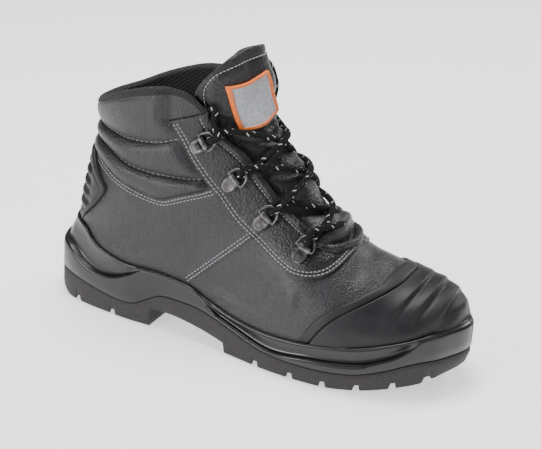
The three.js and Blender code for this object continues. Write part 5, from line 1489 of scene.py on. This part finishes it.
def eyelet_frame(seat_u, seat_a):
    """Axes and middle of an eyelet: X to the throat, Z out of the boot."""
    away = 0.05
    run_u = np.linalg.norm(on_last(seat_u + away, seat_a) - on_last(seat_u - away, seat_a)) / (2 * away)
    run_a = np.linalg.norm(on_last(seat_u, seat_a + away) - on_last(seat_u, seat_a - away)) / (2 * away)
    side = -1.0 if seat_a > 0 else 1.0

    def spot(up, inward):
        u = seat_u + up * CLIP_WIDTH / run_u
        a = seat_a - side * inward * CLIP_LENGTH / run_a
        return off_last(np.float64(u), np.float64(a), np.float64(0.3 + FACING))
    across = spot(0, 0.5) - spot(0, -0.5)
    out = -side * np.cross(across, slope)
    out /= np.linalg.norm(out)
    run = np.cross(out, across)
    run /= np.linalg.norm(run)
    middle = spot(0, 0)
    lift = max((spot(up, inward) - middle) @ out for up in (-0.5, 0, 0.5) for inward in (-0.5, 0, 0.5))
    axes = np.stack([np.cross(run, out), run, out], 0)
    return middle + out * (max(lift, 0) + 0.85), axes


def tube(path, radius, sides, closed=False):
    """A round bar along a path, its section carried along without twist, and a map along and round it."""
    path = np.asarray(path, float)
    run = np.roll(path, -1, 0) - np.roll(path, 1, 0) if closed else np.gradient(path, axis=0)
    run /= np.linalg.norm(run, axis=1, keepdims=True)
    up = np.array([0.0, 0.0, 1.0]) if abs(run[0][2]) < 0.9 else np.array([1.0, 0, 0])
    points, uv = [], []
    length = np.concatenate([[0], np.cumsum(np.linalg.norm(np.diff(path, axis=0), axis=1))])
    for i, place in enumerate(path):
        up = up - run[i] * (up @ run[i])
        up /= np.linalg.norm(up)
        side = np.cross(run[i], up)
        for k in range(sides):
            t = 2 * math.pi * k / sides
            points.append(place + (side * math.cos(t) + up * math.sin(t)) * radius)
            uv.append((length[i] * MM, k / sides))
    faces = list(grid_faces(len(path), sides, closed=True))
    top = (len(path) - 1) * sides
    if closed:
        faces += [[top + k, top + (k + 1) % sides, (k + 1) % sides, k] for k in range(sides)]
    else:
        faces += [list(range(sides))[::-1], [top + k for k in range(sides)]]
    return np.array(points), faces, np.array(uv)


gunmetal = Finish("gunmetal", Roughness=0.35, Metallic=0.9)
tarnish = gunmetal.place.noise(260, 4.0)
scratch = gunmetal.place.noise(1500, 2.0)
gunmetal.set("Base Color", tarnish.between(0.3, 0.7).colour((0.07, 0.068, 0.066, 1), (0.19, 0.183, 0.178, 1)))
gunmetal.set("Roughness", tarnish * 0.2 + scratch * 0.1 + 0.22)
gunmetal.set("Normal", scratch.bump(0.15, 0.0002))


def d_ring_path():
    """The straight bar in the fold and the bow round the front, tilted towards the boot."""
    path = [(0, -0.25 * RING_WIDTH, 0), (0, 0, 0), (0, 0.25 * RING_WIDTH, 0)]
    for t in np.linspace(0, math.pi, 33):
        path.append((RING_REACH * math.sin(t) ** 0.85,
                     RING_WIDTH / 2 * math.copysign(abs(math.cos(t)) ** 0.9, math.cos(t)), 0))
    path = np.array(path)
    turned = np.stack([path[:, 0] * math.cos(RING_TILT), path[:, 1], path[:, 0] * math.sin(RING_TILT)], -1)
    return turned + (BAR_X, 0, FOLD_OUTER)


def shield_outline(inset):
    """Square at the fold and drawn in to a rounded tail."""
    half, back = CLIP_WIDTH / 2 - inset, -CLIP_LENGTH / 2 + inset
    outline = [(BAR_X - 1, -half), (BAR_X - 1, half)]
    for t in np.linspace(0, math.pi, 25):
        narrow = 1 - 0.3 * math.sin(t)
        outline.append((back * math.sin(t) ** 0.7,
                        half * narrow * math.copysign(abs(math.cos(t)) ** 0.5, math.cos(t))))
    return np.array(outline)


def clip_mesh():
    """The shield plate with rounded edges, and the fold round the bar."""
    levels = [(0.0, 0.0), (0.0, 0.9), (0.12, 1.15), (0.4, CLIP_WALL), (1.3, CLIP_WALL),
              (1.6, CLIP_WALL - 0.15), (1.9, CLIP_WALL - 0.15)]
    rings = []
    for inset, z in levels:
        outline = shield_outline(inset)
        rings.append(np.concatenate([outline, np.full((len(outline), 1), z)], 1))
    count = len(rings[0])
    points = np.concatenate(rings)
    faces = list(grid_faces(len(rings), count, closed=True, flip=True))
    faces.append([(len(rings) - 1) * count + k for k in range(count)][::-1])
    faces.append(list(range(count)))
    half = (CLIP_WIDTH - 1) / 2
    turns = np.linspace(-0.62 * math.pi, 1.0 * math.pi, 26)
    section = [(FOLD_OUTER * math.cos(t), FOLD_OUTER * math.sin(t)) for t in turns]
    section += [(FOLD_INNER * math.cos(t), FOLD_INNER * math.sin(t)) for t in turns[::-1]]
    fold = []
    for y, shrink in ((-half, 0.94), (-half + 0.25, 1), (half - 0.25, 1), (half, 0.94)):
        for x, z in section:
            r = math.hypot(x, z)
            keep = shrink if r > (FOLD_INNER + FOLD_OUTER) / 2 else 2 - shrink
            fold.append((BAR_X + x * keep, y, FOLD_OUTER + z * keep))
    first = len(points)
    points = np.concatenate([points, fold])
    faces += list(grid_faces(4, len(section), closed=True) + first)
    n = len(turns)
    for start, flip in ((first, False), (first + 3 * len(section), True)):
        for k in range(n - 1):
            quad = [start + k, start + k + 1, start + 2 * n - 2 - k, start + 2 * n - 1 - k]
            faces.append(quad[::-1] if flip else quad)
    return points, faces


ring_points, ring_faces, _ = tube(d_ring_path(), RING_WIRE / 2, 12, closed=True)
clip_points, clip_faces = clip_mesh()
eyelet_frames = []
for name, (u, a) in zip(eyelet_names, eyelet_seats):
    middle, axes = eyelet_frame(u, a)
    eyelet_frames.append((middle, axes))
    piece("ring_" + name, ring_points @ axes + middle, ring_faces, gunmetal, ["d_ring_" + name])
    piece("shield_" + name, clip_points @ axes + middle, clip_faces, gunmetal, ["clip_" + name])

# The lace: a round black polyester cord, braided with a few pale flecks. It runs straight across
# the lowest eyelets and crosses over the tongue between each pair of rows. Above the top eyelets
# one end tucks in behind the tongue and the other under the collar's tip.
LACE_HALF = 4.4 / 2


def local(k, x, y, z):
    middle, axes = eyelet_frames[k]
    return np.array([x, y, z]) @ axes + middle


def over_throat(s, y, lift):
    u, a = seat_of(s, y)
    return off_last(np.float64(u), np.float64(a), np.float64(lift))


def loop_through(k, arrive_up, leave_up):
    """Over the bow of a ring, down through it and back out below."""
    bow_x = BAR_X + RING_REACH
    return [local(k, bow_x + 3.4, arrive_up, FOLD_OUTER + 2.6),
            local(k, bow_x - 0.6, arrive_up * 0.8, FOLD_OUTER + 2.5),
            local(k, bow_x - 3.6, (arrive_up + leave_up) / 2, FOLD_OUTER - 0.1),
            local(k, bow_x - 0.2, leave_up * 0.8, FOLD_OUTER - 3.1),
            local(k, bow_x + 3.6, leave_up, FOLD_OUTER - 2.6)]


def middle_of(a, b, lift, sag=0.0):
    """Half way between two eyelets, a little lower where a strand sags."""
    (sa, ya), (sb, yb) = eyelets[a], eyelets[b]
    return over_throat(((sa + sb) / 2 - sag) * TALL, (ya + yb) / 2 * WIDE + 0.01, lift)


L1, L2, L3, L4, M1, M2, M3, M4 = range(8)
route = [over_throat(1.3 * TALL, 0.235 * WIDE, -10), over_throat(1.36 * TALL, 0.22 * WIDE, 3.0),
         over_throat(1.22 * TALL, 0.215 * WIDE, 9.5), over_throat(1.04 * TALL, 0.225 * WIDE, 8.0)]
route += loop_through(M1, 2.0, -2.0)
route += [middle_of(M1, L2, 4.8)]
route += loop_through(L2, 2.0, -2.0)[::-1]
route += [middle_of(L2, M3, 1.6, 0.04)]
route += loop_through(M3, 2.0, -2.0)
route += [middle_of(M3, L4, 5.2)]
route += loop_through(L4, 2.0, -2.0)[::-1]
route += [over_throat(0.05 * TALL, 0.0, 3.6)]
route += loop_through(M4, -2.0, 2.0)
route += [middle_of(M4, L3, 1.6, 0.06)]
route += loop_through(L3, -2.0, 2.0)[::-1]
route += [middle_of(L3, M2, 5.0)]
route += loop_through(M2, -2.0, 2.0)
route += [middle_of(M2, L1, 1.4, 0.07)]
route += loop_through(L1, -2.0, 2.0)[::-1]
route += [over_throat(1.19 * TALL, -0.262 * WIDE, 4.4), over_throat(1.255 * TALL, -0.263 * WIDE, 0.3),
          over_throat(1.275 * TALL, -0.285 * WIDE, -4.4), over_throat(1.25 * TALL, -0.33 * WIDE, -4.8)]
route = np.array(route)


def smooth_path(points, spacing):
    """A smooth curve through some points, in equal steps. It doesn't loop where two stand close."""
    knots = np.concatenate([[0], np.cumsum(np.linalg.norm(np.diff(points, axis=0), axis=1) ** 0.5)])
    out = []
    for i in range(len(points) - 1):
        p0 = points[max(i - 1, 0)] if i else 2 * points[0] - points[1]
        p1, p2 = points[i], points[i + 1]
        p3 = points[i + 2] if i + 2 < len(points) else 2 * points[-1] - points[-2]
        t0 = knots[i - 1] if i else knots[0] - (knots[1] - knots[0])
        t1, t2 = knots[i], knots[i + 1]
        t3 = knots[i + 2] if i + 2 < len(points) else knots[-1] + (knots[-1] - knots[-2])
        steps = max(2, int(np.linalg.norm(p2 - p1) / spacing))
        for t in np.linspace(t1, t2, steps, endpoint=False):
            a1 = mix(p0, p1, (t - t0) / (t1 - t0))
            a2 = mix(p1, p2, (t - t1) / (t2 - t1))
            a3 = mix(p2, p3, (t - t2) / (t3 - t2))
            b1, b2 = mix(a1, a2, (t - t0) / (t2 - t0)), mix(a2, a3, (t - t1) / (t3 - t1))
            out.append(mix(b1, b2, (t - t1) / (t2 - t1)))
    return np.array(out + [points[-1]])


lace_path = smooth_path(route, 0.9)
lace_points, lace_faces, lace_uv = tube(lace_path, LACE_HALF, 14)
braid = Finish("braided_lace", Roughness=0.85)
braid.shader.inputs["Specular IOR Level"].default_value = 0.2
uv_place = braid.place.node("ShaderNodeUVMap", {"uv_map": "braid"}, out="UV")
along_cord = uv_place.node("ShaderNodeSeparateXYZ", None, {"Vector": uv_place}, "X")
round_cord = uv_place.node("ShaderNodeSeparateXYZ", None, {"Vector": uv_place}, "Y")
strand_pitch, strand_turn = 2600, 25.13
one_way = (along_cord * strand_pitch + round_cord * strand_turn).sine()
other_way = (along_cord * strand_pitch - round_cord * strand_turn).sine()
strands = (one_way * other_way * 0.5 + 0.5).between(0.15, 0.9)
fleck_line = (along_cord * 900 + round_cord * 12.566).sine()
fleck_break = (along_cord * 410 - round_cord * 6.2832).sine()
fleck = fleck_line.between(0.8, 0.97) * fleck_break.between(0.45, 0.8)
braid.set("Base Color", fleck.colour((0.006, 0.006, 0.0065, 1), (0.5, 0.5, 0.5, 1)))
braid.set("Normal", strands.bump(0.8, 0.0006))
piece("round_lace", lace_points, lace_faces, braid, ["lace"], uv=lace_uv)
